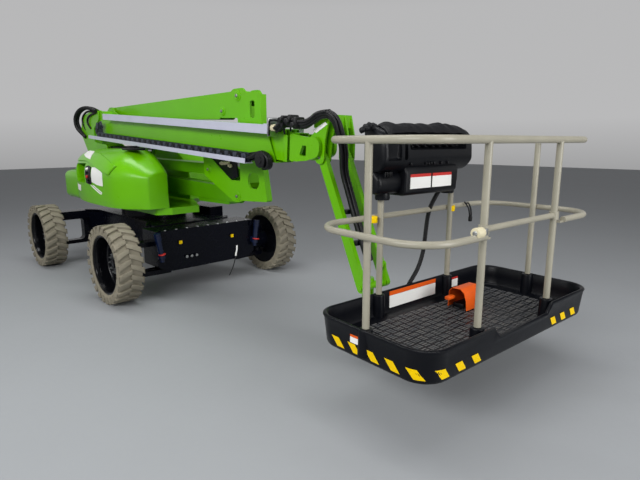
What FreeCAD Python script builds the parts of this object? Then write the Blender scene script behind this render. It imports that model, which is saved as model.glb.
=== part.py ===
import FreeCAD, Part
import os
from math import radians, sin, cos, tan, hypot

# Articulating boom lift: wheeled chassis, slewing turret, two-stage riser, three-section boom, jib
# and cage. Lengths are in millimetres. Every piece is drawn about the slew axis (X forward to the
# cage, Y to the machine's left, Z up from the floor) and is moved by ORIGIN_SHIFT when it is
# written, so that the finished part has its origin on the floor under the middle of its length.

V = FreeCAD.Vector
AXIS_X, AXIS_Y, AXIS_Z = V(1, 0, 0), V(0, 1, 0), V(0, 0, 1)

# Wheels and track
TYRE_R = 405.0            # outside radius over the lugs
TYRE_W = 258.0
LUG_DEPTH = 24.0
RIM_R = 305.0             # radius of the rim's lip
RIM_WALL = 14.0
RIM_DISC = 26.0           # the disc's inner face, from the tyre's inner side
HUB_R = 118.0
WHEELBASE = 2228.0
TRACK = 1996.0
KINGPIN_Y = 800.0
RUN_GAP = 6.0             # air between pieces that move past each other
PIN_GAP = 0.3             # air between a pin and the bore round it

# Chassis
DECK_Z = 716.0            # top of the chassis deck
CHASSIS_HALF_W = 400.0
CHASSIS_LOW = 430.0
PANEL_X = 1300.0          # front face of the front cross box
PANEL_HALF = 620.0
PANEL_LOW = 262.0
PANEL_TOP = 706.0
FRONT_BOX_DEPTH = 330.0
REAR_X = -1300.0
AXLE_HALF = 95.0          # half the rear beam's length along the machine
STEER_X = 936.0           # the steering rod
STEER_Z = 535.0
STEER_R = 16.0
TIE_DOWN_X = -1250.0      # the lashing eyes at the rear, a pin passing through them lengthways
TIE_DOWN_Y = 330.0
TIE_DOWN_Z = 640.0
TIE_DOWN_R = 20.0
YOKE = 50.0               # thickness of the plates that hold a kingpin
YOKE_FACE = 134.0         # their inner faces, from the wheel's centre
PLATE = 16.0

# Turret
RING_R = 400.0
RING_INNER_R = 300.0
RING_H = 78.0
RING_GAP = 0.3            # between the two halves of the slewing ring
TURRET_Z = 868.0          # underside of the turret's base plate
TURRET_TOP = 940.0        # top of the base plate
TAIL_X = -1330.0
TURRET_FRONT = 1262.0
CANOPY_RIGHT_IN = -435.0  # inner faces of the covers beside the riser and the boom
CANOPY_LEFT_IN = 135.0
CANOPY_LEFT_FRONT = 700.0

# Riser, centred on RISER_Y; the arms are RISER_LENGTH from pin to pin
RISER_Y = -55.0
RISER_HALF = 115.0        # half width over the knuckle plates
RISER_PLATE = 20.0
FLANGE = 62.0             # turned-in edge of the front knuckle's near plate
ARM_HALF = 87.0           # half width of the arms between the plates
ARM_WALL = 12.0
PIN_R = 30.0
LOWER_FRONT_PIN = (2139.0, 1112.0)     # x, z
LOWER_REAR_PIN = (-750.0, 1160.0)
LINK_STEP_LOWER = (-498.0, 239.0)      # from an arm pin to the pin of the link beside it
UPPER_FRONT_PIN = (2187.0, 2044.0)
UPPER_REAR_PIN = (-700.0, 2012.0)
LINK_STEP_UPPER = (-255.0, -128.0)
RISER_CYLINDER = ((-420.0, 1010.0), (1150.0, 1105.0))     # foot pin, rod's eye
RISER_BARREL_R = 48.0
EYE_HALF = 30.0           # half the width of a rod's eye
BOOM_CYLINDER = ((-400.0, 1530.0), (560.0, 1530.0))

# Telescopic boom, drawn along its own slope
BOOM_Y = -295.0           # middle plane of the boom
BOOM_SLOPE = 3.7          # degrees down to the front
BOOM_REF = (-600.0, 1840.0)            # a point of its centre line, x, z
BOOM_PIN = (-610.0, 1968.0)
BOOM_W = 190.0
BOOM_H = 290.0
BOOM_WALL = 9.0
SECTION_STEP = 22.0       # what each section is smaller than the next, on each side
OUTER_START, OUTER_END = -150.0, 3535.0    # along the boom, from BOOM_REF
OUTER_CUT = 145.0         # the outer section's end leans by this, top against bottom
MID_START, MID_END = 60.0, 3700.0
INNER_START = 130.0
TRAY_OUT_Y = -500.0       # outer face of the hose trays
TRAY_IN_Y = -416.0
LOWER_TRAY_Z = -172.0     # its floor, from the boom's centre line
CHAIN_H = 80.0
NOSE_PIN = (3415.0, 1598.0)
NOSE_CHEEK = 28.0
NOSE_ROUND_R = 72.0

# Jib and cage
JIB_Y = -185.0
JIB_ARM_SPREAD = 131.0    # each outer arm from the jib's middle plane
JIB_ARM_W = 40.0
JIB_ARM_H = 72.0
JIB_TOP_PIN = (3455.0, 1511.0)
JIB_LENGTH = 1005.0
JIB_DROP = 66.5           # degrees below level
JIB_PIN_R = 18.0
TIE_STEP = (0.0, 140.0)
TIE_Y = -121.0
TIE_W = 30.0
TIE_H = 44.0
JIB_PLATE = 14.0
CAGE_AXIS = (3800.0, -185.0)           # x, y of the cage's turning axis
CAGE_YAW = -4.5
CAGE_BACK = 4015.0        # back of the tray before the cage is turned
CAGE_DEPTH = 900.0
CAGE_HALF = 946.0
ROTATOR_R = 44.0
CAGE_MID_Y = 53.0
CAGE_CORNER_R = 165.0
RAIL_BEND_R = 200.0
TRAY_LOW = 400.0
TRAY_RIM = 598.0
TRAY_WALL = 30.0
TRAY_TAPER = 24.0         # the tray's foot is smaller than its rim by this on each side
FLOOR_Z = 436.0
RAIL_R = 22.0
TOP_RAIL_Z = 1640.0
MID_RAIL_Z = 1130.0
GATE_Z = 1158.0

# Overall reach, which sets the origin
FRONT_REACH = 4992.0
REAR_REACH = -(WHEELBASE / 2 + TYRE_R)
ORIGIN_SHIFT = V(-(FRONT_REACH + REAR_REACH) / 2, 0, 0)

LOWER_LINK_FRONT = (LOWER_FRONT_PIN[0] + LINK_STEP_LOWER[0], LOWER_FRONT_PIN[1] + LINK_STEP_LOWER[1])
LOWER_LINK_REAR = (LOWER_REAR_PIN[0] + LINK_STEP_LOWER[0], LOWER_REAR_PIN[1] + LINK_STEP_LOWER[1])
UPPER_LINK_FRONT = (UPPER_FRONT_PIN[0] + LINK_STEP_UPPER[0], UPPER_FRONT_PIN[1] + LINK_STEP_UPPER[1])
UPPER_LINK_REAR = (UPPER_REAR_PIN[0] + LINK_STEP_UPPER[0], UPPER_REAR_PIN[1] + LINK_STEP_UPPER[1])
JIB_DIR = (cos(radians(JIB_DROP)), -sin(radians(JIB_DROP)))
JIB_LOW_PIN = (JIB_TOP_PIN[0] + JIB_LENGTH * JIB_DIR[0], JIB_TOP_PIN[1] + JIB_LENGTH * JIB_DIR[1])
TIE_TOP_PIN = (JIB_TOP_PIN[0] + TIE_STEP[0], JIB_TOP_PIN[1] + TIE_STEP[1])
TIE_LOW_PIN = (JIB_LOW_PIN[0] + TIE_STEP[0], JIB_LOW_PIN[1] + TIE_STEP[1])

PARTS = {}


def keep(node, shape):
    """Keep a finished piece under its node's name."""
    PARTS[node] = shape


def block(x0, x1, y0, y1, z0, z1):
    return Part.makeBox(x1 - x0, y1 - y0, z1 - z0, V(x0, y0, z0))


def rod(start, end, radius):
    """A round bar from start to end."""
    run = end - start
    return Part.makeCylinder(radius, run.Length, start, run)


def pin_y(at, y0, y1, radius):
    """A round bar across the machine at x, z."""
    return rod(V(at[0], y0, at[1]), V(at[0], y1, at[1]), radius)


def rounded(points):
    """A closed outline in the plane of its points: rows of x, y, corner radius."""
    edges = []
    count = len(points)
    arcs = []
    for i in range(count):
        a, b, c = points[i - 1], points[i], points[(i + 1) % count]
        here = V(b[0], b[1], 0)
        to_a = (V(a[0], a[1], 0) - here)
        to_c = (V(c[0], c[1], 0) - here)
        radius = b[2] if len(b) > 2 else 0
        if radius <= 0:
            arcs.append((here, here, None))
            continue
        to_a.normalize()
        to_c.normalize()
        half = to_a.getAngle(to_c) / 2
        back = radius / tan(half)
        bisector = to_a + to_c
        bisector.normalize()
        centre = here + bisector * (radius / sin(half))
        arcs.append((here + to_a * back, here + to_c * back, centre - bisector * radius))
    for i in range(count):
        start, end, middle = arcs[i]
        if middle is not None:
            edges.append(Part.Arc(start, middle, end).toShape())
        following = arcs[(i + 1) % count][0]
        if (following - end).Length > 1e-6:
            edges.append(Part.makeLine(end, following))
    return Part.Wire(Part.__sortEdges__(edges))


def plate_xz(points, y0, y1, holes=()):
    """A plate whose outline is drawn in X and Z, standing from y0 to y1; holes are outlines too."""
    face = Part.Face(rounded(points))
    solid = face.extrude(V(0, 0, y1 - y0))
    for hole in holes:
        solid = solid.cut(Part.Face(rounded(hole)).extrude(V(0, 0, y1 - y0)))
    solid.rotate(V(0, 0, 0), AXIS_X, 90)
    solid.translate(V(0, y1, 0))
    return solid


def plate_xy(points, z0, z1, holes=()):
    """A level plate, its outline drawn in X and Y."""
    solid = Part.Face(rounded(points)).extrude(V(0, 0, z1 - z0))
    for hole in holes:
        solid = solid.cut(Part.Face(rounded(hole)).extrude(V(0, 0, z1 - z0)))
    solid.translate(V(0, 0, z0))
    return solid


def plate_yz(points, x0, x1):
    """A plate across the machine, its outline drawn in Y and Z."""
    solid = Part.Face(rounded(points)).extrude(V(0, 0, x1 - x0))
    turn = FreeCAD.Placement(V(x0, 0, 0), FreeCAD.Rotation(AXIS_Y, AXIS_Z, AXIS_X, "ZXY"))
    solid.Placement = turn.multiply(solid.Placement)
    return solid


def box_beam(x0, x1, width, height, wall, y, z):
    """A square tube along X with open ends."""
    outer = block(x0, x1, y - width / 2, y + width / 2, z - height / 2, z + height / 2)
    inner = block(x0 - 1, x1 + 1, y - width / 2 + wall, y + width / 2 - wall,
                  z - height / 2 + wall, z + height / 2 - wall)
    return outer.cut(inner)


def fuse(shapes):
    body = shapes[0].multiFuse(shapes[1:]) if len(shapes) > 1 else shapes[0]
    return body.removeSplitter()


def between(a, b, t):
    return (a[0] + (b[0] - a[0]) * t, a[1] + (b[1] - a[1]) * t)


def bar_outline(a, b, half_a, half_b):
    """The outline of a bar from pin a to pin b with round ends, as rows for rounded()."""
    length = hypot(b[0] - a[0], b[1] - a[1])
    ux, uz = (b[0] - a[0]) / length, (b[1] - a[1]) / length
    nx, nz = -uz, ux
    k = 0.999 if half_a == half_b else 0.95
    return [(a[0] - ux * half_a + nx * half_a, a[1] - uz * half_a + nz * half_a, half_a * k),
            (a[0] - ux * half_a - nx * half_a, a[1] - uz * half_a - nz * half_a, half_a * k),
            (b[0] + ux * half_b - nx * half_b, b[1] + uz * half_b - nz * half_b, half_b * k),
            (b[0] + ux * half_b + nx * half_b, b[1] + uz * half_b + nz * half_b, half_b * k)]


def tube_loop(points, radius, closed=True):
    """A bent round tube through rows of x, y, z, bend radius."""
    count = len(points)
    edges = []
    corners = []
    for i in range(count):
        here = V(*points[i][:3])
        if not closed and i in (0, count - 1):
            corners.append((here, here, None))
            continue
        to_a = V(*points[i - 1][:3]) - here
        to_c = V(*points[(i + 1) % count][:3]) - here
        to_a.normalize()
        to_c.normalize()
        half = to_a.getAngle(to_c) / 2
        bend = points[i][3]
        back = bend / tan(half)
        bisector = to_a + to_c
        bisector.normalize()
        centre = here + bisector * (bend / sin(half))
        corners.append((here + to_a * back, here + to_c * back, centre - bisector * bend))
    last = count if closed else count - 1
    for i in range(count):
        start, end, middle = corners[i]
        if middle is not None:
            edges.append(Part.Arc(start, middle, end).toShape())
        if i < last:
            following = corners[(i + 1) % count][0]
            if (following - end).Length > 1e-6:
                edges.append(Part.makeLine(end, following))
    path = Part.Wire(Part.__sortEdges__(edges))
    first = path.OrderedEdges[0]
    at = first.valueAt(first.FirstParameter)
    along = first.tangentAt(first.FirstParameter)
    ring = Part.Wire(Part.makeCircle(radius, at, along))
    return path.makePipeShell([ring], True, False)


# Wheels

def tyre(cx, cy):
    """A solid cushion tyre: a carcass turned about the axle, out to its lug tips."""
    half = TYRE_W / 2
    root = TYRE_R - LUG_DEPTH
    profile = [(RIM_R, -half + 18, 0), (RIM_R + 28, -half, 12), (root - 26, -half, 20),
               (TYRE_R, -half + 22, 14), (TYRE_R, half - 22, 14), (root - 26, half, 20),
               (RIM_R + 28, half, 12), (RIM_R, half - 18, 0)]
    face = Part.Face(rounded(profile))
    face.rotate(V(0, 0, 0), AXIS_Z, 0)
    solid = face.revolve(V(0, 0, 0), AXIS_Y, 360)
    solid.translate(V(cx, cy, TYRE_R))
    return solid


def rim(cx, cy, side):
    """A deep dished rim; side is +1 on the machine's left, and the dish opens outwards."""
    half = TYRE_W / 2
    lip = RIM_R - PIN_GAP
    # radius, place along the axle from the tyre's middle, outwards
    outline = [(lip, half - 20, 0), (lip - RIM_WALL, half - 20, 0), (lip - RIM_WALL - 10, half - 60, 20),
               (lip - RIM_WALL - 10, -half + 90, 20), (HUB_R, -half + 84, 10), (HUB_R, -half + 128, 8),
               (1, -half + 128, 0), (1, -half + RIM_DISC, 0),
               (lip - RIM_WALL, -half + RIM_DISC, 0),
               (lip, -half + 20, 0)]
    face = Part.Face(rounded(outline))
    solid = face.revolve(V(0, 0, 0), AXIS_Y, 360)
    core = rod(V(0, -half + RIM_DISC, 0), V(0, -half + 128, 0), 2)
    solid = solid.fuse(core)
    if side < 0:
        solid = solid.mirror(V(0, 0, 0), AXIS_Y)
    solid.translate(V(cx, cy, TYRE_R))
    return solid


def steering_knuckle(side):
    """The swivel that carries a front wheel: kingpin boss, hub drive and steering arm."""
    x = WHEELBASE / 2
    inner = TRACK / 2 - TYRE_W / 2
    drive = rod(V(x, side * (KINGPIN_Y - 40), TYRE_R), V(x, side * (inner + RIM_DISC - PIN_GAP), TYRE_R), 112)
    reach = YOKE_FACE - PIN_GAP
    post = rod(V(x, side * KINGPIN_Y, TYRE_R - reach), V(x, side * KINGPIN_Y, TYRE_R + reach), 52)
    arm = plate_xy([(x - 170, side * (KINGPIN_Y - 30), 24), (x - 170, side * (KINGPIN_Y + 20), 24),
                    (x + 20, side * (KINGPIN_Y + 40), 10), (x + 20, side * (KINGPIN_Y - 40), 10)],
                   TYRE_R + 84, TYRE_R + 104)
    return fuse([drive, post, arm])


# Chassis

def chassis_frame():
    """The welded spine: a box with a deck plate, deeper at its middle."""
    box_rear = PANEL_X - FRONT_BOX_DEPTH
    front = box_rear - 90
    rear = -WHEELBASE / 2 + AXLE_HALF
    rows = [(rear, 520, 0), (REAR_X + 470, CHASSIS_HALF_W, 0), (front - 260, CHASSIS_HALF_W, 0),
            (front, 540, 0), (front, -540, 0), (front - 260, -CHASSIS_HALF_W, 0),
            (REAR_X + 470, -CHASSIS_HALF_W, 0), (rear, -520, 0)]
    deck = plate_xy(rows, DECK_Z - PLATE, DECK_Z)
    walls = [(x, y * 0.9) for x, y, _ in rows]
    tub = plate_xy([(x, y, 0) for x, y in walls], CHASSIS_LOW, DECK_Z - PLATE)
    seat = rod(V(0, 0, DECK_Z), V(0, 0, DECK_Z + RING_H), RING_R)
    seat = seat.cut(rod(V(0, 0, DECK_Z), V(0, 0, DECK_Z + RING_H), RING_INNER_R))
    locker = block(180, 620, 450, 640, DECK_Z - 40, DECK_Z + 90)
    bracket = block(200, 600, 350, 460, DECK_Z - 60, DECK_Z - PLATE)
    neck = block(front - 5, box_rear, -480, 480, STEER_Z + 60, DECK_Z)
    parts = [deck, tub, seat, locker, bracket, neck]
    return fuse(parts)


def front_axle():
    """The front cross box with a yoke at each end for the kingpins."""
    x0, x1 = PANEL_X - FRONT_BOX_DEPTH, PANEL_X
    box = plate_yz([(-PANEL_HALF, PANEL_TOP, 12), (PANEL_HALF, PANEL_TOP, 12),
                    (PANEL_HALF, PANEL_LOW + 60, 12), (PANEL_HALF - 120, PANEL_LOW, 12),
                    (-PANEL_HALF + 120, PANEL_LOW, 12), (-PANEL_HALF, PANEL_LOW + 60, 12)], x0, x1)
    parts = [box]
    axle_x = WHEELBASE / 2
    for side in (-1, 1):
        for z0, z1 in ((TYRE_R - YOKE_FACE - YOKE, TYRE_R - YOKE_FACE),
                       (TYRE_R + YOKE_FACE, TYRE_R + YOKE_FACE + YOKE)):
            inner, outer = side * (PANEL_HALF - 190), side * (KINGPIN_Y + 56)
            parts.append(plate_xy([(axle_x - 90, inner, 0), (axle_x - 60, outer, 30), (axle_x + 60, outer, 30),
                                   (axle_x + 90, inner, 0)], z0, z1))
    for side in (-1, 1):
        y0, y1 = sorted((side * 370, side * 400))
        parts.append(block(STEER_X, x0, y0, y1, STEER_Z - 30, STEER_Z + 30))
        parts.append(block(x1, x1 + 20, min(side * 560, side * 599), max(side * 560, side * 599), 640, 700))
    parts.append(rod(V(STEER_X, -400, STEER_Z), V(STEER_X, 400, STEER_Z), 40))
    return fuse(parts).cut(rod(V(STEER_X, -401, STEER_Z), V(STEER_X, 401, STEER_Z), STEER_R + PIN_GAP))


def lockout(side):
    """A cylinder that locks the axle's swing: it stands before the cross box, leaning out at its top."""
    y_top, y_low = side * 640, side * 600
    top, low = V(PANEL_X + 50, y_top, 700), V(PANEL_X + 50, y_low, 430)
    run = low - top
    parts = [rod(top, low, 30), rod(top, top + run * 0.28, 36), rod(low - run * 0.12, low, 38),
             block(PANEL_X + 0.3, PANEL_X + 40, min(side * 575, side * 619), max(side * 575, side * 619), 440, 500),
             rod(V(PANEL_X + 50, y_low, 392), V(PANEL_X + 50, y_low, 432), 24)]
    return fuse(parts)


def rear_axle():
    """The rear beam, with an open window between the frame and each wheel."""
    axle_x = -WHEELBASE / 2
    inner = TRACK / 2 - TYRE_W / 2
    beam = block(axle_x - AXLE_HALF, axle_x + AXLE_HALF, -(inner - 30), inner - 30, 590, DECK_Z - PLATE)
    parts = [beam]
    for side in (-1, 1):
        rows = [(side * (inner - 6), 700, 0), (side * 380, 700, 0), (side * 380, 250, 0), (side * (inner - 6), 250, 0)]
        window = [(side * (inner - 40), 590, 50), (side * 540, 590, 50), (side * 540, 300, 50), (side * (inner - 40), 300, 50)]
        side_plate = plate_yz(rows, axle_x - 60, axle_x + 60)
        gap = plate_yz(window, axle_x - 70, axle_x + 70)
        parts.append(side_plate.cut(gap))
        y0, y1 = sorted((side * (inner - 60), side * (inner + RIM_DISC - PIN_GAP)))
        parts.append(rod(V(axle_x, y0, TYRE_R), V(axle_x, y1, TYRE_R), 112))
    cross = block(axle_x - 60, axle_x + 60, -400, 400, 250, 700)
    parts.append(cross)
    rear_face = axle_x - AXLE_HALF
    bores = []
    for side in (-1, 1):
        y, z, reach = side * TIE_DOWN_Y, TIE_DOWN_Z, TIE_DOWN_R + 25
        eye = [(y - side * 105, z - reach, 0), (y + side * reach, z - reach, reach * 0.95),
               (y + side * reach, z + reach, reach * 0.95), (y - side * 105, z + reach, 0)]
        parts.append(plate_yz(eye, TIE_DOWN_X - 10, TIE_DOWN_X + 10))
        y0, y1 = sorted((y - side * 105, y - side * 50))
        parts.append(block(TIE_DOWN_X - 10, rear_face, y0, y1, z - reach, z + reach))
        bores.append(rod(V(TIE_DOWN_X - 11, y, z), V(TIE_DOWN_X + 11, y, z), TIE_DOWN_R))
    return fuse(parts).cut(bores[0]).cut(bores[1])


# Turret

def turret_base():
    """The slewing base plate with the cheeks that carry the riser's rear pins."""
    ring = rod(V(0, 0, DECK_Z + RING_H + RING_GAP), V(0, 0, TURRET_Z), RING_R - 8)
    ring = ring.cut(rod(V(0, 0, DECK_Z), V(0, 0, TURRET_Z + 1), RING_INNER_R))
    plate = plate_xy([(TAIL_X + 60, 560, 120), (300, 560, 60), (640, 200, 60), (TURRET_FRONT + 25, -95, 20),
                      (TURRET_FRONT + 25, -420, 40), (TURRET_FRONT - 50, -560, 60),
                      (TAIL_X + 60, -560, 120)], TURRET_Z, TURRET_TOP)
    parts = [ring, plate]
    for y0 in (RISER_Y - RISER_HALF, RISER_Y + RISER_HALF - RISER_PLATE):
        cheek = plate_xz([(TAIL_X + 20, LOWER_LINK_REAR[1] + 76, 50), (LOWER_LINK_REAR[0] + 90, LOWER_LINK_REAR[1] + 76, 40),
                          (LOWER_REAR_PIN[0] + 110, LOWER_REAR_PIN[1] + 100, 60), (LOWER_REAR_PIN[0] + 420, TURRET_TOP, 0),
                          (TAIL_X + 20, TURRET_TOP, 0)], y0, y0 + RISER_PLATE)
        parts.append(cheek)
    for at in (LOWER_REAR_PIN, LOWER_LINK_REAR):
        parts.append(pin_y(at, RISER_Y - RISER_HALF - 10, RISER_Y + RISER_HALF + 10, PIN_R))
    fx, fz = RISER_CYLINDER[0]
    clevis_in, clevis_out = RISER_BARREL_R + 9, ARM_HALF - ARM_WALL - RUN_GAP
    for y0, y1 in ((RISER_Y - clevis_out, RISER_Y - clevis_in), (RISER_Y + clevis_in, RISER_Y + clevis_out)):
        parts.append(plate_xz([(fx - 90, TURRET_TOP, 0), (fx - 50, fz + 46, 40), (fx + 50, fz + 46, 40),
                               (fx + 90, TURRET_TOP, 0)], y0, y1))
    parts.append(pin_y(RISER_CYLINDER[0], RISER_Y - clevis_out, RISER_Y + clevis_out, PIN_R))
    return fuse(parts)


def counterweight():
    """The cast tail weight: a slab across the tail with blocks between the cheeks and beside them."""
    rear, front = TAIL_X - 70, TAIL_X + 14
    slab = plate_xy([(rear, -600, 72), (front, -600, 10), (front, 600, 10), (rear, 600, 72)], TURRET_Z, 1230)
    inside = RISER_HALF - RISER_PLATE - PIN_GAP
    parts = [slab, block(front, -880, RISER_Y - inside, RISER_Y + inside, TURRET_TOP, 1290)]
    parts.append(block(front, -900, -429, RISER_Y - RISER_HALF - 14, TURRET_TOP, 1200))
    parts.append(block(front, -900, RISER_Y + RISER_HALF + 14, CANOPY_LEFT_IN - RUN_GAP, TURRET_TOP, 1200))
    return fuse(parts)


def steer_rod():
    """The double ended rod of the steering cylinder on the front box."""
    y = KINGPIN_Y - 60
    parts = [rod(V(STEER_X, -y, STEER_Z), V(STEER_X, y, STEER_Z), STEER_R)]
    for side in (-1, 1):
        parts.append(rod(V(STEER_X, side * y, STEER_Z - 18), V(STEER_X, side * y, STEER_Z + 18), 26))
    return fuse(parts)


def canopy(side, inner, front):
    """A moulded cover beside the riser: plan, side and end outlines cut from one another."""
    outer = 893.0
    plan = [(TAIL_X + 110, inner, 0), (front, inner, 0), (front, side * 700, 150),
            (front - 362, side * outer, 400), (100, side * outer, 500), (-760, side * 690, 500),
            (TAIL_X + 110, side * 560, 60)]
    body = plate_xy(plan, TURRET_TOP, 1560)
    profile = [(TAIL_X, TURRET_TOP, 0), (front + 5, TURRET_TOP, 0), (front + 5, 1345, 90),
               (front - 312, 1552, 300), (-300, 1552, 500), (-900, 1470, 200), (TAIL_X, 1240, 0)]
    y0, y1 = sorted((inner - side * 40, side * 950))
    body = body.common(plate_xz(profile, y0, y1))
    end = [(inner - side * 35, TURRET_TOP, 0), (inner - side * 35, 1556, 0), (side * 900, 1556, 400),
           (side * 900, TURRET_TOP, 0)]
    return body.common(plate_yz(end, TAIL_X - 10, TURRET_FRONT + 10))


# Riser

def lower_arm():
    """An inverted channel over the lift cylinder, closed to a box ahead of it."""
    a, b = LOWER_REAR_PIN, LOWER_FRONT_PIN
    parts = []
    for y0 in (RISER_Y - ARM_HALF, RISER_Y + ARM_HALF - ARM_WALL):
        parts.append(plate_xz(bar_outline(a, b, 108, 70), y0, y0 + ARM_WALL))
    c, d = between(a, b, 0.05), between(a, b, 0.93)
    top = plate_xz([(c[0], c[1] + 95, 0), (d[0], d[1] + 62, 0), (d[0], d[1] + 50, 0), (c[0], c[1] + 83, 0)],
                   RISER_Y - ARM_HALF, RISER_Y + ARM_HALF)
    e = between(a, b, 0.72)
    low = plate_xz([(e[0], e[1] - 70, 0), (d[0], d[1] - 62, 0), (d[0], d[1] - 50, 0), (e[0], e[1] - 58, 0)],
                   RISER_Y - ARM_HALF, RISER_Y + ARM_HALF)
    belly = plate_xz([(1348, 1000, 30), (1937, 1008, 30), (1925, 1075, 0), (1348, 1085, 0)],
                     RISER_Y - ARM_HALF + 12, RISER_Y + ARM_HALF - 12)
    parts += [top, low, belly]
    parts += [pin_y(at, RISER_Y - ARM_HALF, RISER_Y + ARM_HALF, PIN_R + 16) for at in (a, b)]
    stub = EYE_HALF + RUN_GAP
    parts.append(pin_y(RISER_CYLINDER[1], RISER_Y - ARM_HALF, RISER_Y - stub, 34))
    parts.append(pin_y(RISER_CYLINDER[1], RISER_Y + stub, RISER_Y + ARM_HALF, 34))
    body = fuse(parts)
    for at in (a, b):
        body = body.cut(pin_y(at, RISER_Y - ARM_HALF - 1, RISER_Y + ARM_HALF + 1, PIN_R + PIN_GAP))
    return body


def link(a, b, half, half_width):
    """A levelling link with a bore at each end."""
    body = plate_xz(bar_outline(a, b, half, half), RISER_Y - half_width, RISER_Y + half_width)
    for at in (a, b):
        body = body.cut(pin_y(at, RISER_Y - half_width - 1, RISER_Y + half_width + 1, PIN_R + PIN_GAP))
    return body


def front_knuckle():
    """The tall folding knuckle between the two riser stages."""
    bx, bz = LOWER_FRONT_PIN
    lx, lz = LOWER_LINK_FRONT
    cx, cz = UPPER_FRONT_PIN
    ux, uz = UPPER_LINK_FRONT
    outline = [(lx - 100, lz + 150, 10), (lx - 10, lz + 150, 20), (bx - 105, 1262, 30), (bx + 46, 1262, 20),
               (cx - 10, uz - 70, 20), (ux - 60, uz - 60, 55), (ux - 62, uz + 66, 55), (cx - 66, cz + 66, 60),
               (cx + 70, cz + 66, 30), (cx + 130, cz + 20, 10), (cx + 345, cz + 14, 30),
               (cx + 345, 1415, 20), (bx + 452, 1092, 14), (bx + 70, 1072, 30), (bx - 8, bz - 62, 50), (bx - 90, bz - 50, 40),
               (lx - 90, lz - 62, 50)]
    window = [(2310, 1200, 60), (2310, 1345, 60), (2478, 1345, 60), (2478, 1200, 60)]
    slot = [(2370, 1840, 20), (2370, 1990, 20), (2440, 1990, 20), (2440, 1840, 20)]
    near, far = RISER_Y - RISER_HALF, RISER_Y + RISER_HALF
    web_x = cx + 69
    far_outline = outline[:8] + [(web_x, cz + 66, 50), (web_x, bz + 70, 30)] + outline[13:]
    parts = [plate_xz(outline, near, near + RISER_PLATE, [window, slot]),
             plate_xz(far_outline, far - RISER_PLATE, far),
             block(web_x - 16, web_x, near, far, bz + 130, cz - 90)]
    edge_x = cx + 345
    edge = [(edge_x - 18, 1410, 0), (edge_x - 18, cz - 6, 0), (edge_x, cz - 6, 0), (edge_x, 1415, 0),
            (bx + 450, 1104, 0), (bx + 432, 1104, 0)]
    parts.append(plate_xz(edge, near, near + FLANGE))
    foot = [(bx + 90, 1076, 0), (bx + 90, 1090, 0), (bx + 440, 1106, 0), (bx + 440, 1092, 0)]
    parts.append(plate_xz(foot, near, near + FLANGE))
    for at in (LOWER_FRONT_PIN, LOWER_LINK_FRONT, UPPER_FRONT_PIN, UPPER_LINK_FRONT):
        parts.append(pin_y(at, RISER_Y - RISER_HALF - 12, RISER_Y + RISER_HALF + 12, PIN_R))
    return fuse(parts)


def upper_arm():
    """An inverted channel over the levelling link, deeper at its front."""
    a, b = UPPER_REAR_PIN, UPPER_FRONT_PIN
    parts = []
    outline = [(a[0] - 60, a[1] + 62, 50), (b[0] + 46, b[1] + 50, 40), (b[0] + 50, b[1] - 60, 40), (b[0] - 285, b[1] - 84, 20), (b[0] - 345, b[1] - 200, 50),
               (a[0] + 200, a[1] - 90, 60), (a[0] - 60, a[1] - 60, 50)]
    for y0 in (RISER_Y - ARM_HALF, RISER_Y + ARM_HALF - ARM_WALL):
        parts.append(plate_xz(outline, y0, y0 + ARM_WALL))
    top = plate_xz([(a[0] + 10, a[1] + 62, 0), (b[0] - 20, b[1] + 50, 0), (b[0] - 20, b[1] + 38, 0), (a[0] + 10, a[1] + 50, 0)],
                   RISER_Y - ARM_HALF, RISER_Y + ARM_HALF)
    parts.append(top)
    parts += [pin_y(at, RISER_Y - ARM_HALF, RISER_Y + ARM_HALF, PIN_R + 14) for at in (a, b)]
    body = fuse(parts)
    for at in (a, b):
        body = body.cut(pin_y(at, RISER_Y - ARM_HALF - 1, RISER_Y + ARM_HALF + 1, PIN_R + PIN_GAP))
    return body


def rear_knuckle():
    """The knuckle on top of the riser: it holds the boom's pin and the foot of its lift cylinder."""
    ax, az = UPPER_REAR_PIN
    lx, lz = UPPER_LINK_REAR
    px, pz = BOOM_PIN
    boom_side = [(px - 70, pz + 72, 50), (px + 72, pz + 72, 60), (px + 66, pz - 62, 60), (px - 130, pz - 170, 60), (px - 130, 1620, 60),
                 (px + 268, 1592, 50), (px + 268, 1474, 50), (-1010, 1500, 60), (-1200, 1740, 60), (-1130, 1960, 60)]
    parts = []
    side_plate = 14.0
    plates = (BOOM_Y - BOOM_W / 2 - RUN_GAP - side_plate, BOOM_Y + BOOM_W / 2 + RUN_GAP)
    for y0 in plates:
        parts.append(plate_xz(boom_side, y0, y0 + side_plate))
    arm_side = [(lx - 66, lz + 60, 50), (ax - 66, az + 66, 50), (ax + 66, az + 66, 60), (ax + 62, az - 62, 60),
                (lx + 60, lz - 66, 50), (-1010, 1500, 60), (-1200, 1740, 60), (-1130, 1960, 60)]
    for y0 in (RISER_Y - RISER_HALF, RISER_Y + RISER_HALF - RISER_PLATE):
        parts.append(plate_xz(arm_side, y0, y0 + RISER_PLATE))
    back = plate_xz([(-1186, 1752, 0), (-1126, 1930, 0), (-1080, 1930, 0), (-1140, 1740, 0), (-1010, 1560, 0), (-1030, 1530, 0)],
                    plates[0], RISER_Y + RISER_HALF)
    parts.append(back)
    for at in (BOOM_PIN, BOOM_CYLINDER[0]):
        parts.append(pin_y(at, plates[0], plates[1] + side_plate, PIN_R))
    for at in (UPPER_REAR_PIN, UPPER_LINK_REAR):
        parts.append(pin_y(at, RISER_Y - RISER_HALF - 6, RISER_Y + RISER_HALF + 12, PIN_R))
    return fuse(parts)


# Boom

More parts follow.
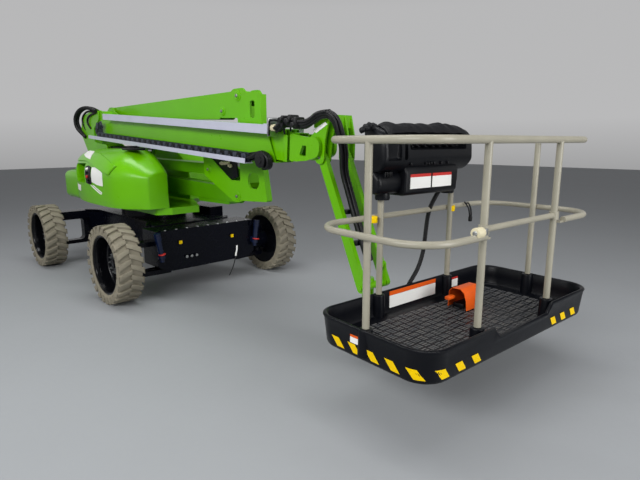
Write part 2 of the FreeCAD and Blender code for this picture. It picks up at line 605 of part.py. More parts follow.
def along_boom(shape):
    """Move a piece drawn level from the boom's reference point onto the boom's slope."""
    shape.rotate(V(0, 0, 0), AXIS_Y, BOOM_SLOPE)
    shape.translate(V(BOOM_REF[0], 0, BOOM_REF[1]))
    return shape


def in_boom(at):
    """A point x, z of the machine, given along and above the boom's own centre line."""
    dx, dz = at[0] - BOOM_REF[0], at[1] - BOOM_REF[1]
    s, c = sin(radians(BOOM_SLOPE)), cos(radians(BOOM_SLOPE))
    return (dx * c - dz * s, dx * s + dz * c)


def section_size(step):
    """Width and height of a boom section; step is 0 for the outer one."""
    return BOOM_W - 2 * step * SECTION_STEP, BOOM_H - 2 * step * SECTION_STEP


def section_tube(start, end, step):
    w, h = section_size(step)
    return box_beam(start, end, w, h, BOOM_WALL, BOOM_Y, 0)


def slide_pads(start, end, step, inside):
    """Wear pads that fill the air between a section and the next, at its front or its rear."""
    w, h = section_size(step)
    reach = SECTION_STEP - BOOM_WALL - PIN_GAP
    pads = []
    for side in (-1, 1):
        y_face = w / 2 - BOOM_WALL if inside else w / 2
        z_face = h / 2 - BOOM_WALL if inside else h / 2
        depth = -reach if inside else reach
        y0, y1 = sorted((BOOM_Y + side * y_face, BOOM_Y + side * (y_face + depth)))
        z0, z1 = sorted((side * z_face, side * (z_face + depth)))
        for z in (-h / 2 + 45, h / 2 - 85):
            pads.append(block(start, end, y0, y1, z, z + 40))
        for y in (BOOM_Y - w / 2 + 32, BOOM_Y + w / 2 - 62):
            pads.append(block(start, end, y, y + 30, z0, z1))
    return pads


def boom_outer():
    px, pz = in_boom(BOOM_PIN)
    half = BOOM_W / 2
    tube = section_tube(OUTER_START, OUTER_END + OUTER_CUT / 2, 0)
    e, h = OUTER_END, BOOM_H / 2
    tube = tube.cut(plate_xz([(e - OUTER_CUT / 2, h + 1, 0), (e + OUTER_CUT, h + 1, 0), (e + OUTER_CUT, -h - 1, 0),
                              (e + OUTER_CUT / 2, -h - 1, 0)], BOOM_Y - half - 1, BOOM_Y + half + 1))
    parts = [tube] + slide_pads(OUTER_END - 170, OUTER_END - 80, 0, True)
    for y0 in (BOOM_Y - half, BOOM_Y + half - 20):
        parts.append(plate_xz([(px - 66, pz + 62, 50), (px + 70, pz + 62, 50), (px + 210, h, 0), (px + 160, h - 60, 0),
                               (px - 66, h - 60, 20)], y0, y0 + 20))
    parts.append(pin_y((px, pz), BOOM_Y - half, BOOM_Y + half, PIN_R + 22))
    gx, gz = in_boom(BOOM_CYLINDER[1])
    for y0 in (BOOM_Y - 60, BOOM_Y + 44):
        parts.append(plate_xz([(gx - 130, -h + 4, 0), (gx - 50, gz - 45, 30), (gx + 50, gz - 45, 30), (gx + 130, -h + 4, 0)],
                              y0, y0 + 16))
    stub = EYE_HALF + RUN_GAP
    parts.append(pin_y((gx, gz), BOOM_Y - 60, BOOM_Y - stub, 30))
    parts.append(pin_y((gx, gz), BOOM_Y + stub, BOOM_Y + 60, 30))
    body = fuse(parts)
    body = body.cut(pin_y((px, pz), BOOM_Y - half - 1, BOOM_Y + half + 1, PIN_R + PIN_GAP))
    return along_boom(body)


def boom_mid():
    parts = [section_tube(MID_START, MID_END, 1)]
    parts += slide_pads(MID_START, MID_START + 80, 1, False)
    parts += slide_pads(MID_END - 80, MID_END, 1, True)
    return along_boom(fuse(parts))


def boom_inner():
    """The inner section with the nose: a collar and two cheeks that hold the jib knuckle's pin."""
    nx, nz = in_boom(NOSE_PIN)
    half = BOOM_W / 2
    w, h = section_size(2)
    parts = [section_tube(INNER_START, nx - 195, 2)]
    parts += slide_pads(INNER_START, INNER_START + 80, 2, False)
    cheek = [(nx - 250, 92, 12), (nx - 60, 78, 20), (nx + NOSE_ROUND_R, nz + NOSE_ROUND_R, 66), (nx + NOSE_ROUND_R, nz - NOSE_ROUND_R, 66),
             (nx - 60, -96, 30), (nx - 170, -112, 12), (nx - 250, -112, 12)]
    far_cheek = [(nx - 250, 92, 12), (nx - 60, 78, 20), (nx + NOSE_ROUND_R, nz + NOSE_ROUND_R, 66), (nx + NOSE_ROUND_R, nz - NOSE_ROUND_R, 66),
                 (nx - 120, -104, 20), (nx - 250, -112, 12)]
    window = [(nx - 140, -62, 8), (nx - 108, 14, 8), (nx - 66, 14, 8), (nx - 66, -62, 8)]
    parts.append(plate_xz(cheek, BOOM_Y - half, BOOM_Y - half + NOSE_CHEEK, [window]))
    parts.append(plate_xz(far_cheek, BOOM_Y + half - NOSE_CHEEK, BOOM_Y + half, [window]))
    parts.append(block(nx - 250, nx - 195, BOOM_Y - half, BOOM_Y - w / 2, -104, 92))
    parts.append(block(nx - 250, nx - 195, BOOM_Y + w / 2, BOOM_Y + half, -104, 92))
    parts.append(pin_y((nx, nz), BOOM_Y - half, BOOM_Y + half, PIN_R))
    return along_boom(fuse(parts))


def lower_tray():
    """The channel along the outer section; the energy chain's lower run lies in it."""
    x0, x1 = -90.0, 3340.0
    floor_z = LOWER_TRAY_Z
    parts = [block(x0, x1, TRAY_OUT_Y, TRAY_IN_Y, floor_z, floor_z + 6),
             block(x0, x1, TRAY_OUT_Y, TRAY_OUT_Y + 5, floor_z, floor_z + 42)]
    for x in (240, 1240, 2240, 3240):
        parts.append(block(x, x + 50, TRAY_IN_Y - 4, BOOM_Y - BOOM_W / 2, floor_z, floor_z + 72))
    return along_boom(fuse(parts))


def energy_chain():
    """The folding chain that carries the hoses: a straight run and the bend at its rear."""
    x0, x1 = 240.0, 3330.0
    low, radius = LOWER_TRAY_Z + 6.3, 118.0
    high = low + CHAIN_H
    y0, y1 = TRAY_OUT_Y + 12, TRAY_IN_Y - 4.3
    centre = low + radius
    run = block(x0, x1, y0, y1, low, high)
    bend = rod(V(x0, y0, centre), V(x0, y1, centre), radius).cut(rod(V(x0, y0, centre), V(x0, y1, centre), radius - CHAIN_H))
    bend = bend.common(block(x0 - radius - 1, x0, y0, y1, low - 1, centre + radius + 1))
    return along_boom(fuse([run, bend]))


def upper_tray():
    """The tray that travels with the inner section, hung from its nose by a bracket."""
    x0, x1 = 420.0, 3640.0
    low, high = 82.0, 150.0
    nx, nz = in_boom(NOSE_PIN)
    half = BOOM_W / 2
    top = high + 8
    parts = [block(x0, x1, TRAY_OUT_Y, TRAY_OUT_Y + 6, low, high),
             block(x0, x1, TRAY_OUT_Y, TRAY_IN_Y, high - 6, high),
             block(x0, x1, TRAY_OUT_Y, TRAY_IN_Y, low, low + 6),
             block(x1 - 60, x1, TRAY_OUT_Y, BOOM_Y + 14, high - 6, top),
             block(x1 - 60, nx - 215, BOOM_Y - 14, BOOM_Y + 14, high - 6, top),
             block(nx - 240, nx - 215, BOOM_Y - 14, BOOM_Y + 14, 101.3, top)]
    return along_boom(fuse(parts))


# Cylinders

def cylinder_barrel(pins, y, eye_r, barrel_r, length, half_width):
    """A hydraulic barrel with its foot eye, lying from the foot pin towards the rod's eye."""
    (ax, az), (bx, bz) = pins
    run = V(bx - ax, 0, bz - az)
    run.normalize()
    foot = V(ax, y, az)
    body = rod(foot + run * (eye_r * 0.7), foot + run * length, barrel_r)
    eye = pin_y(pins[0], y - half_width, y + half_width, eye_r)
    bore = pin_y(pins[0], y - half_width - 1, y + half_width + 1, PIN_R + PIN_GAP)
    gland = rod(foot + run * (length - 60), foot + run * length, barrel_r + 6)
    return fuse([body, eye, gland]).cut(bore)


def cylinder_rod(pins, y, eye_r, rod_r, barrel_length, half_width, hidden):
    """The rod from the gland to its eye; hidden is how far it reaches into the barrel's space."""
    (ax, az), (bx, bz) = pins
    run = V(bx - ax, 0, bz - az)
    length = run.Length
    run.normalize()
    foot = V(ax, y, az)
    body = rod(foot + run * (barrel_length + RUN_GAP - hidden), foot + run * (length - eye_r * 0.7), rod_r)
    eye = pin_y(pins[1], y - half_width, y + half_width, eye_r)
    bore = pin_y(pins[1], y - half_width - 1, y + half_width + 1, PIN_R - 8)
    return fuse([body, eye]).cut(bore)


def hollow_barrel(barrel, pins, y, length, depth, rod_r):
    """Bore the barrel for its rod."""
    (ax, az), (bx, bz) = pins
    run = V(bx - ax, 0, bz - az)
    run.normalize()
    foot = V(ax, y, az)
    return barrel.cut(rod(foot + run * (length - depth), foot + run * (length + 1), rod_r + PIN_GAP))


# name: pins, y, eye radius, barrel radius, rod radius, barrel length, rod inside the barrel at rest
CYLINDERS = [("riser", RISER_CYLINDER, RISER_Y, 44.0, RISER_BARREL_R, 32.0, 1380.0, 1200.0),
             ("boom", BOOM_CYLINDER, BOOM_Y, 42.0, 48.0, 27.0, 740.0, 640.0)]


# Jib

def jib_plate(points, y):
    return plate_xz(points, y, y + JIB_PLATE)


def jib_knuckle():
    """The levelled knuckle at the boom's nose: plates beside each arm, joined by a box at their top."""
    jx, jz = NOSE_PIN
    kx, kz = JIB_TOP_PIN
    tx, tz = TIE_TOP_PIN
    near, far = JIB_Y - JIB_ARM_SPREAD, JIB_Y + JIB_ARM_SPREAD
    beside = JIB_ARM_W / 2 + RUN_GAP
    top = jz + 242
    near_outline = [(jx - 50, top - 12, 16), (kx + 55, top, 20), (kx + 95, top - 60, 20), (kx + 60, 1640, 60), (kx + 44, kz - 44, 42), (kx - 44, kz - 44, 42),
                    (kx - 46, kz + 30, 0), (jx - 62, jz - 40, 20), (jx - 62, jz + 60, 30), (jx + 4, jz + 110, 20)]
    parts = [jib_plate(near_outline, near - beside - JIB_PLATE), jib_plate(near_outline, near + beside)]
    hub = pin_y(NOSE_PIN, near - beside - JIB_PLATE, BOOM_Y + BOOM_W / 2 - NOSE_CHEEK - RUN_GAP, 38)
    parts.append(hub)
    tie_plate = [(kx - 70, top - 14, 0), (kx + 10, top - 14, 0), (tx + 34, tz + 20, 20), (tx + 34, tz - 34, 32), (tx - 34, tz - 34, 32), (kx - 70, top - 110, 0)]
    parts.append(jib_plate(tie_plate, TIE_Y - TIE_W / 2 - RUN_GAP - JIB_PLATE))
    far_outline = [(kx - 70, top - 14, 0), (kx + 10, top - 14, 0), (kx + 50, tz, 40), (kx + 44, kz - 44, 42), (kx - 44, kz - 44, 42), (kx - 44, tz, 0), (kx - 70, top - 110, 0)]
    inner_far = far - beside - JIB_PLATE
    parts.append(plate_xz(far_outline, inner_far - 6, inner_far + JIB_PLATE))
    parts.append(jib_plate(far_outline, far + beside))
    parts.append(block(kx - 70, kx + 10, near - beside, far + beside + JIB_PLATE, top - 110, top - 14))
    parts.append(pin_y(JIB_TOP_PIN, near - beside - JIB_PLATE, near + beside + JIB_PLATE, JIB_PIN_R))
    parts.append(pin_y(JIB_TOP_PIN, inner_far, far + beside + JIB_PLATE + 8, JIB_PIN_R))
    parts.append(pin_y(TIE_TOP_PIN, TIE_Y - TIE_W / 2 - RUN_GAP - JIB_PLATE, inner_far, JIB_PIN_R))
    body = fuse(parts)
    return body.cut(pin_y(NOSE_PIN, near - 100, BOOM_Y + BOOM_W / 2 - NOSE_CHEEK, PIN_R + PIN_GAP))


def jib_arms():
    """Two outer arms tied by a cross tube."""
    parts = []
    low = JIB_LOW_PIN
    for side in (-1, 1):
        y = JIB_Y + side * JIB_ARM_SPREAD
        parts.append(plate_xz(bar_outline(JIB_TOP_PIN, low, JIB_ARM_H / 2, JIB_ARM_H / 2), y - JIB_ARM_W / 2, y + JIB_ARM_W / 2))
    parts.append(pin_y(between(JIB_TOP_PIN, low, 0.5), JIB_Y - JIB_ARM_SPREAD, JIB_Y + JIB_ARM_SPREAD, 16))
    body = fuse(parts)
    for at in (JIB_TOP_PIN, low):
        body = body.cut(pin_y(at, JIB_Y - 200, JIB_Y + 200, JIB_PIN_R + PIN_GAP))
    return body


def jib_tie():
    """The middle bar that keeps the cage level."""
    body = plate_xz(bar_outline(TIE_TOP_PIN, TIE_LOW_PIN, TIE_H / 2 + 6, TIE_H / 2 + 6), TIE_Y - TIE_W / 2, TIE_Y + TIE_W / 2)
    for at in (TIE_TOP_PIN, TIE_LOW_PIN):
        body = body.cut(pin_y(at, TIE_Y - 30, TIE_Y + 30, JIB_PIN_R + PIN_GAP))
    return body


def cage_carrier():
    """The levelled block at the jib's foot, with the upright barrel that the cage turns on."""
    lx, lz = JIB_LOW_PIN
    ax, ay = CAGE_AXIS
    near, far = JIB_Y - JIB_ARM_SPREAD, JIB_Y + JIB_ARM_SPREAD
    beside = JIB_ARM_W / 2 + RUN_GAP
    inner_far = far - beside - JIB_PLATE
    parts = [pin_y(JIB_LOW_PIN, near + beside, far - beside, 26),
             pin_y(JIB_LOW_PIN, near - beside - 6, far + beside + 6, JIB_PIN_R),
             plate_xz(bar_outline(JIB_LOW_PIN, TIE_LOW_PIN, 34, 30), inner_far - 6, far - beside),
             pin_y(TIE_LOW_PIN, TIE_Y - TIE_W / 2 - 12, inner_far, JIB_PIN_R),
             rod(V(ax, ay, TRAY_LOW + 30), V(ax, ay, lz + 46), ROTATOR_R),
             block(ax, lx, ay - 36, ay + 36, lz - 24, lz + 24)]
    return fuse(parts)


# Cage, drawn before it is turned by CAGE_YAW about its axis

def turn_cage(shape):
    shape.rotate(V(CAGE_AXIS[0], CAGE_AXIS[1], 0), AXIS_Z, CAGE_YAW)
    return shape


def cage_outline(inset):
    x0, x1 = CAGE_BACK + inset, CAGE_BACK + CAGE_DEPTH - inset
    y0, y1 = CAGE_MID_Y - CAGE_HALF + inset, CAGE_MID_Y + CAGE_HALF - inset
    r = max(CAGE_CORNER_R - inset, 20)
    return [(x0, y0, r), (x1, y0, r), (x1, y1, r), (x0, y1, r)]


# x and y of the rail posts, and the height at which each ends
POST_INSET = 36.0
POST_BACK_X = CAGE_BACK + POST_INSET
POST_FRONT_X = CAGE_BACK + CAGE_DEPTH - 79.0
POST_END = CAGE_HALF - POST_INSET
BACK_POST_TOP = 1250.0
POSTS = [(POST_BACK_X, CAGE_MID_Y - 388, BACK_POST_TOP), (POST_BACK_X, CAGE_MID_Y + 388, BACK_POST_TOP),
         (POST_FRONT_X, CAGE_MID_Y - 410, TOP_RAIL_Z), (POST_FRONT_X, CAGE_MID_Y + 410, TOP_RAIL_Z),
         ((POST_BACK_X + POST_FRONT_X) / 2, CAGE_MID_Y - POST_END, TOP_RAIL_Z),
         ((POST_BACK_X + POST_FRONT_X) / 2, CAGE_MID_Y + POST_END, TOP_RAIL_Z)]
GATE_Y = 410.0


def tapered(inset_low, inset_high, z_low, z_high):
    """A block with the tray's plan that widens from z_low to z_high."""
    wires = []
    for inset, z in ((inset_low, z_low), (inset_high, z_high)):
        wire = rounded(cage_outline(inset))
        wire.translate(V(0, 0, z))
        wires.append(wire)
    return Part.makeLoft(wires, True)


def cage_tray():
    """The moulded floor tray with a lowered sill at the gate and a boss for each post."""
    shell = tapered(TRAY_TAPER, 0, TRAY_LOW, TRAY_RIM)
    tub = shell.cut(tapered(TRAY_WALL + 12, TRAY_WALL, FLOOR_Z, TRAY_RIM + 1))
    for x, y, _ in POSTS:
        boss = rod(V(x, y, FLOOR_Z - 2), V(x, y, TRAY_RIM), RAIL_R + 20)
        tub = tub.fuse(boss.common(shell))
    left, right = CAGE_MID_Y - GATE_Y + 62, CAGE_MID_Y + GATE_Y - 62
    front = CAGE_BACK + CAGE_DEPTH
    sill = plate_yz([(left, TRAY_RIM + 1, 0), (left + 62, TRAY_RIM - 62, 20), (right - 62, TRAY_RIM - 62, 20),
                     (right, TRAY_RIM + 1, 0)], front - 120, front + 10)
    return turn_cage(tub.cut(sill).removeSplitter())


def cage_mount():
    """The bracket under the tray: a seat below the turning barrel and a beam out under the floor."""
    ax, ay = CAGE_AXIS
    seat = rod(V(ax, ay, 336), V(ax, ay, TRAY_LOW + 30 - PIN_GAP), ROTATOR_R)
    beam = block(ax, CAGE_BACK + 560, ay - 30, ay + 30, 336, 372)
    rails = [block(CAGE_BACK + 20, CAGE_BACK + 560, ay + dy - 30, ay + dy + 30, 362, TRAY_LOW) for dy in (-180, 180)]
    cross = [block(CAGE_BACK + x, CAGE_BACK + x + 60, ay - 210, ay + 210, 350, 386) for x in (40, 480)]
    return turn_cage(fuse([seat, beam] + rails + cross))


def top_loop():
    """Rows for the top rail over the posts."""
    x0, x1 = POST_BACK_X, POST_FRONT_X
    y0, y1 = CAGE_MID_Y - POST_END, CAGE_MID_Y + POST_END
    bend = RAIL_BEND_R
    return [(x, y, TOP_RAIL_Z, bend) for x, y in ((x0, y0), (x1, y0), (x1, y1), (x0, y1))]


def cage_rails():
    """The guard rails: a closed top loop, a middle loop open at the gate, and six posts."""
    side = RAIL_R * 2 - 5
    x0, x1 = POST_BACK_X - side, POST_FRONT_X + side
    y0, y1 = CAGE_MID_Y - POST_END - side, CAGE_MID_Y + POST_END + side
    bend = RAIL_BEND_R + 30
    parts = [tube_loop(top_loop(), RAIL_R)]
    z = MID_RAIL_Z
    short = GATE_Y + 46
    mid = [(x1, CAGE_MID_Y - short, z, 0), (x1, y0, z, bend), (x0, y0, z, bend),
           (x0, y1, z, bend), (x1, y1, z, bend), (x1, CAGE_MID_Y + short, z, 0)]
    parts.append(tube_loop(mid, RAIL_R - 2, closed=False))
    for lug in (-1, 1):
        inner, outer = CAGE_MID_Y + lug * GATE_Y, CAGE_MID_Y + lug * (short + 20)
        parts.append(block(POST_FRONT_X - 6, x1 + 6, min(inner, outer), max(inner, outer), z - 18, z - 6))
    for x, y, top_z in POSTS:
        parts.append(rod(V(x, y, TRAY_RIM), V(x, y, top_z), RAIL_R - 1))
    return turn_cage(fuse(parts))


def gate_bar():
    """The drop bar: a tube with a sleeve round each gate post, lifted along the posts."""
    ends = [V(POST_FRONT_X, CAGE_MID_Y + side * GATE_Y, GATE_Z) for side in (-1, 1)]
    up = V(0, 0, 26)
    parts = [rod(ends[0], ends[1], RAIL_R - 4)] + [rod(end - up, end + up, RAIL_R + 8) for end in ends]
    body = fuse(parts)
    for end in ends:
        body = body.cut(rod(end - up * 2, end + up * 2, RAIL_R - 1 + PIN_GAP))
    return turn_cage(body)


def console():
    """The control housing on the two back posts; the top rail runs through it."""
    z0, z1 = BACK_POST_TOP + PIN_GAP, 1738.0
    x = CAGE_BACK - 12
    hood = [(x, z0 + 190, 20), (x + 110, z0 + 150, 50), (x + 205, z0 + 250, 70), (x + 180, z1 - 50, 50),
            (x + 70, z1, 60), (x, z1 - 20, 30)]
    panel = [(x + 20, z0 + 24, 12), (x + 165, z0 + 34, 20), (x + 182, z0 + 215, 20), (x + 20, z0 + 215, 0)]
    bodies = [plate_xz(hood, CAGE_MID_Y - 530, CAGE_MID_Y + 520), plate_xz(panel, CAGE_MID_Y - 285, CAGE_MID_Y + 335),
              block(POST_BACK_X - 25, POST_BACK_X + 60, CAGE_MID_Y - 420, CAGE_MID_Y + 420, z0, z0 + 50)]
    for side in (-1, 1):
        bodies.append(rod(V(POST_BACK_X + 20, CAGE_MID_Y + side * 388, z0 + 20),
                          V(POST_BACK_X + 20, CAGE_MID_Y + side * 388, z0 + 260), 44))
    return turn_cage(fuse(bodies).cut(tube_loop(top_loop(), RAIL_R + PIN_GAP)))


def build():
    for name, cx, side in (("front_left", 1, 1), ("front_right", 1, -1), ("rear_left", -1, 1), ("rear_right", -1, -1)):
        x, y = cx * WHEELBASE / 2, side * TRACK / 2
        keep("tyre_" + name, tyre(x, y))
        keep("rim_" + name, rim(x, y, side))
    keep("knuckle_left", steering_knuckle(1))
    keep("knuckle_right", steering_knuckle(-1))
    keep("steer_rod", steer_rod())
    keep("lockout_left", lockout(1))
    keep("lockout_right", lockout(-1))
    keep("chassis_frame", chassis_frame())
    keep("front_axle", front_axle())
    keep("rear_axle", rear_axle())
    keep("turret_base", turret_base())
    keep("counterweight", counterweight())
    keep("canopy_left", canopy(1, CANOPY_LEFT_IN, CANOPY_LEFT_FRONT))
    keep("canopy_right", canopy(-1, CANOPY_RIGHT_IN, TURRET_FRONT))
    keep("lower_arm", lower_arm())
    keep("lower_link", link(LOWER_LINK_REAR, LOWER_LINK_FRONT, 56, ARM_HALF))
    keep("front_knuckle", front_knuckle())
    keep("upper_arm", upper_arm())
    keep("upper_link", link(UPPER_LINK_REAR, UPPER_LINK_FRONT, 42, ARM_HALF - ARM_WALL - RUN_GAP))
    keep("rear_knuckle", rear_knuckle())
    for name, pins, y, eye_r, barrel_r, rod_r, length, hidden in CYLINDERS:
        barrel = cylinder_barrel(pins, y, eye_r, barrel_r, length, barrel_r + 3)
        keep(name + "_barrel", hollow_barrel(barrel, pins, y, length, hidden + 20, rod_r))
        keep(name + "_rod", cylinder_rod(pins, y, eye_r - 6, rod_r, length, EYE_HALF, hidden))
    keep("boom_outer", boom_outer())
    keep("boom_mid", boom_mid())
    keep("boom_inner", boom_inner())
    keep("lower_tray", lower_tray())
    keep("energy_chain", energy_chain())
    keep("upper_tray", upper_tray())
    keep("jib_knuckle", jib_knuckle())
    keep("jib_arms", jib_arms())
    keep("jib_tie", jib_tie())
    keep("cage_carrier", cage_carrier())
    keep("cage_mount", cage_mount())
    keep("cage_tray", cage_tray())
    keep("cage_rails", cage_rails())
    keep("gate_bar", gate_bar())
    keep("console", console())


def write():
    os.makedirs("parts", exist_ok=True)
    for node, shape in PARTS.items():
        shape.translate(ORIGIN_SHIFT)
        shape.exportStep("parts/" + node + ".step")
        box = shape.BoundBox
        print(node, len(shape.Solids), shape.isValid(),
              [round(v) for v in (box.XMin, box.XMax, box.YMin, box.YMax, box.ZMin, box.ZMax)])


build()
write()
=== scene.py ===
# %% [markdown]
# # An articulating boom lift
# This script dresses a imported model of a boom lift: four lugged tyres, a black chassis, a green
# turret with moulded covers, a folded riser, a telescopic boom with its hose trays, a short jib and
# a railed cage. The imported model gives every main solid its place. Each cell below adds one piece
# or one finish, and says how it is on the real machine and why it is made in that way.

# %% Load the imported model
from math import cos, pi, radians, sin

import bmesh
import bpy
from mathutils import Matrix, Vector


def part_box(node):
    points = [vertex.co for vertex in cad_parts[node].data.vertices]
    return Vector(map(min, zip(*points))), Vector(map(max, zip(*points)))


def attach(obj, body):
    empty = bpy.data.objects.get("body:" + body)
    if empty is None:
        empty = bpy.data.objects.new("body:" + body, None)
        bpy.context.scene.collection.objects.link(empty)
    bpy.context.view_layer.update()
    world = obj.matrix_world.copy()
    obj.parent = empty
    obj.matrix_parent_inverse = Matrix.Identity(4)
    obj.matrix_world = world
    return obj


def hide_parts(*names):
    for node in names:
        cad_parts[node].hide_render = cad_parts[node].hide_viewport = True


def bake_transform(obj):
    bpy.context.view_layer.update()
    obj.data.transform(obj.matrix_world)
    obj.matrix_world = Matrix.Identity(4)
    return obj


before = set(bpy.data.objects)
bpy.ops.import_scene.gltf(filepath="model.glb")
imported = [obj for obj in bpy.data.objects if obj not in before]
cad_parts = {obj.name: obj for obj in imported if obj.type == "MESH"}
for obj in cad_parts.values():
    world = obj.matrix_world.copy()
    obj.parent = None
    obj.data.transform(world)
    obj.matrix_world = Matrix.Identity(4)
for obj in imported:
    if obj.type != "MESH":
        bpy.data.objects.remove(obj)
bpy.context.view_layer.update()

# %% [markdown]
# The machine's drawings are in millimetres from the axis that the turret turns on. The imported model
# has its origin under the middle of the stowed machine, so one helper turns a drawing's point into
# a point of the scene, and a second one does the same for the cage, which stands turned by a few
# degrees about its own axis.

# %% Places on the machine
SLEW_TO_MIDDLE = 1736.5
CAGE_AXIS = Vector((3800.0, -185.0, 0.0))
CAGE_TURN = Matrix.Rotation(radians(-4.5), 4, "Z")
BOOM_REF = Vector((-600.0, -295.0, 1840.0))
BOOM_TILT = Matrix.Rotation(radians(3.7), 4, "Y")
NOSE_PIN = (3415, -295, 1598)


def place(x, y, z):
    """A drawing's point in millimetres from the slew axis, as a point of the scene."""
    return Vector((x - SLEW_TO_MIDDLE, y, z)) / 1000


def in_cage(x, y, z):
    """A point of the cage, drawn square, as a point of the scene."""
    turned = CAGE_TURN @ (Vector((x, y, z)) - CAGE_AXIS) + CAGE_AXIS
    return place(*turned)


def on_boom(along, y, up):
    """A point given along and above the boom's own centre line, as a point of the scene."""
    turned = BOOM_TILT @ Vector((along, 0, up)) + BOOM_REF
    return place(turned.x, y, turned.z)


print("nose pin at", [round(v, 3) for v in place(*NOSE_PIN)])

# %% [markdown]
# The camera comes first. It stands in front of
# the machine on its right, a little above the top of the cage's floor, and looks down and back.
# The lens is a mild wide angle, which is why the cage looks large beside the chassis.

# %% Camera
CAMERA_AT = (6076, -2919, 1631)
CAMERA_HEADING, CAMERA_DOWN, CAMERA_ROLL = 135.56, 11.37, 0.08
camera_data = bpy.data.cameras.new("view from the front right")
camera_data.sensor_width = 36.0
camera_data.lens = 27.6
camera_data.clip_end = 60.0
camera = bpy.data.objects.new("view from the front right", camera_data)
camera.location = place(*CAMERA_AT)
camera.rotation_euler = (radians(90 - CAMERA_DOWN), radians(CAMERA_ROLL), radians(CAMERA_HEADING - 90))
bpy.context.scene.collection.objects.link(camera)
bpy.context.scene.camera = camera
bpy.context.scene.view_settings.view_transform = "Standard"
print("camera at", [round(v, 3) for v in camera.location])

# %% [markdown]
# Shader nodes are added and wired by two helpers. An input is given by its name or number, with
# either a plain value or the output of another node.

# %% Wiring nodes


def feed(tree, node, inputs):
    """Give each named input of a node its value, or link it to another node's output."""
    for name, value in inputs.items():
        if isinstance(value, bpy.types.NodeSocket):
            tree.links.new(value, node.inputs[name])
        else:
            node.inputs[name].default_value = value


def add_node(tree, kind, inputs=None, **settings):
    """A new node with its settings and inputs."""
    node = tree.nodes.new(kind)
    for name, value in settings.items():
        setattr(node, name, value)
    feed(tree, node, inputs or {})
    return node


print("node helpers ready")

# %% [markdown]
# The machine's upright faces look brighter than its roofs, so the light comes mostly from the sides.
# The world is one gradient by height: dim overhead, bright at the horizon, and a little darker
# towards the floor. Three long soft lamps give the paint its highlights.

# %% Light and floor
SKY_STRENGTH = 0.54
SKY_FLOOR, SKY_TOP = (0.30, 0.30, 0.31, 1), (0.22, 0.23, 0.25, 1)
SKY_STEPS = ((0.47, 0.62), (0.52, 0.90), (0.62, 0.88), (0.74, 0.42))
FLOOR_HALF = 30
LAMPS = (("lamp overhead", (0.5, -0.5, 6.5), (0.3, 0, 0), (9.0, 1.0), 235),
         ("lamp beside the camera", (2.5, -6.5, 4.2), (0.5, 0, 0.8), (7.0, 1.6), 415),
         ("lamp in front", (8.5, 0.5, 2.6), (0.5, 0, 1.0), (3.0, 3.6), 270))

world = bpy.data.worlds.new("light by height")
bpy.context.scene.world = world
world.use_nodes = True
sky = world.node_tree
direction = add_node(sky, "ShaderNodeTexCoord")
height = add_node(sky, "ShaderNodeSeparateXYZ", {0: direction.outputs["Generated"]})
to_share = add_node(sky, "ShaderNodeMapRange", {"From Min": -1.0, "Value": height.outputs["Z"]})
by_height = add_node(sky, "ShaderNodeValToRGB", {"Fac": to_share.outputs["Result"]})
feed(sky, sky.nodes["Background"], {"Color": by_height.outputs["Color"], "Strength": SKY_STRENGTH})
steps = by_height.color_ramp.elements
steps[0].position, steps[0].color = 0.0, SKY_FLOOR
steps[1].position, steps[1].color = 1.0, SKY_TOP
for share, level in SKY_STEPS:
    steps.new(share).color = (level, level, level * 1.01, 1)


def soft_lamp(name, at, aim, size, power):
    """A rectangular lamp at one point, aimed at another."""
    lamp_data = bpy.data.lights.new(name, "AREA")
    lamp_data.shape = "RECTANGLE"
    lamp_data.size, lamp_data.size_y = size
    lamp_data.energy = power
    lamp = bpy.data.objects.new(name, lamp_data)
    lamp.location = at
    lamp.rotation_euler = (Vector(aim) - Vector(at)).to_track_quat("-Z", "Y").to_euler()
    bpy.context.scene.collection.objects.link(lamp)


for lamp_row in LAMPS:
    soft_lamp(*lamp_row)

floor_bm = bmesh.new()
bmesh.ops.create_grid(floor_bm, x_segments=1, y_segments=1, size=FLOOR_HALF)
floor_mesh = bpy.data.meshes.new("plain_floor")
floor_bm.to_mesh(floor_mesh)
floor_bm.free()
floor = bpy.data.objects.new("plain_floor", floor_mesh)
bpy.context.scene.collection.objects.link(floor)

# %% [markdown]
# Almost every surface of the machine is paint or moulded plastic that has stood in a yard for a
# while. One shader node group gives them their age: broad pale and dark patches, dust that lies
# on faces that look up, and a fine bump. Each material then sets its own colours and amounts.

# %% The group that ages a surface
GROUP_INPUTS = {"Colour": (0.5, 0.5, 0.5, 1), "Dust Colour": (0.4, 0.38, 0.34, 1), "Dust": 0.1, "Patches": 0.1,
                "Patch Scale": 3.0, "Gloss": 0.3, "Grain Scale": 300.0, "Grain Depth": 0.05}
GROUP_OUTPUTS = {"Colour": "NodeSocketColor", "Roughness": "NodeSocketFloat", "Normal": "NodeSocketVector"}


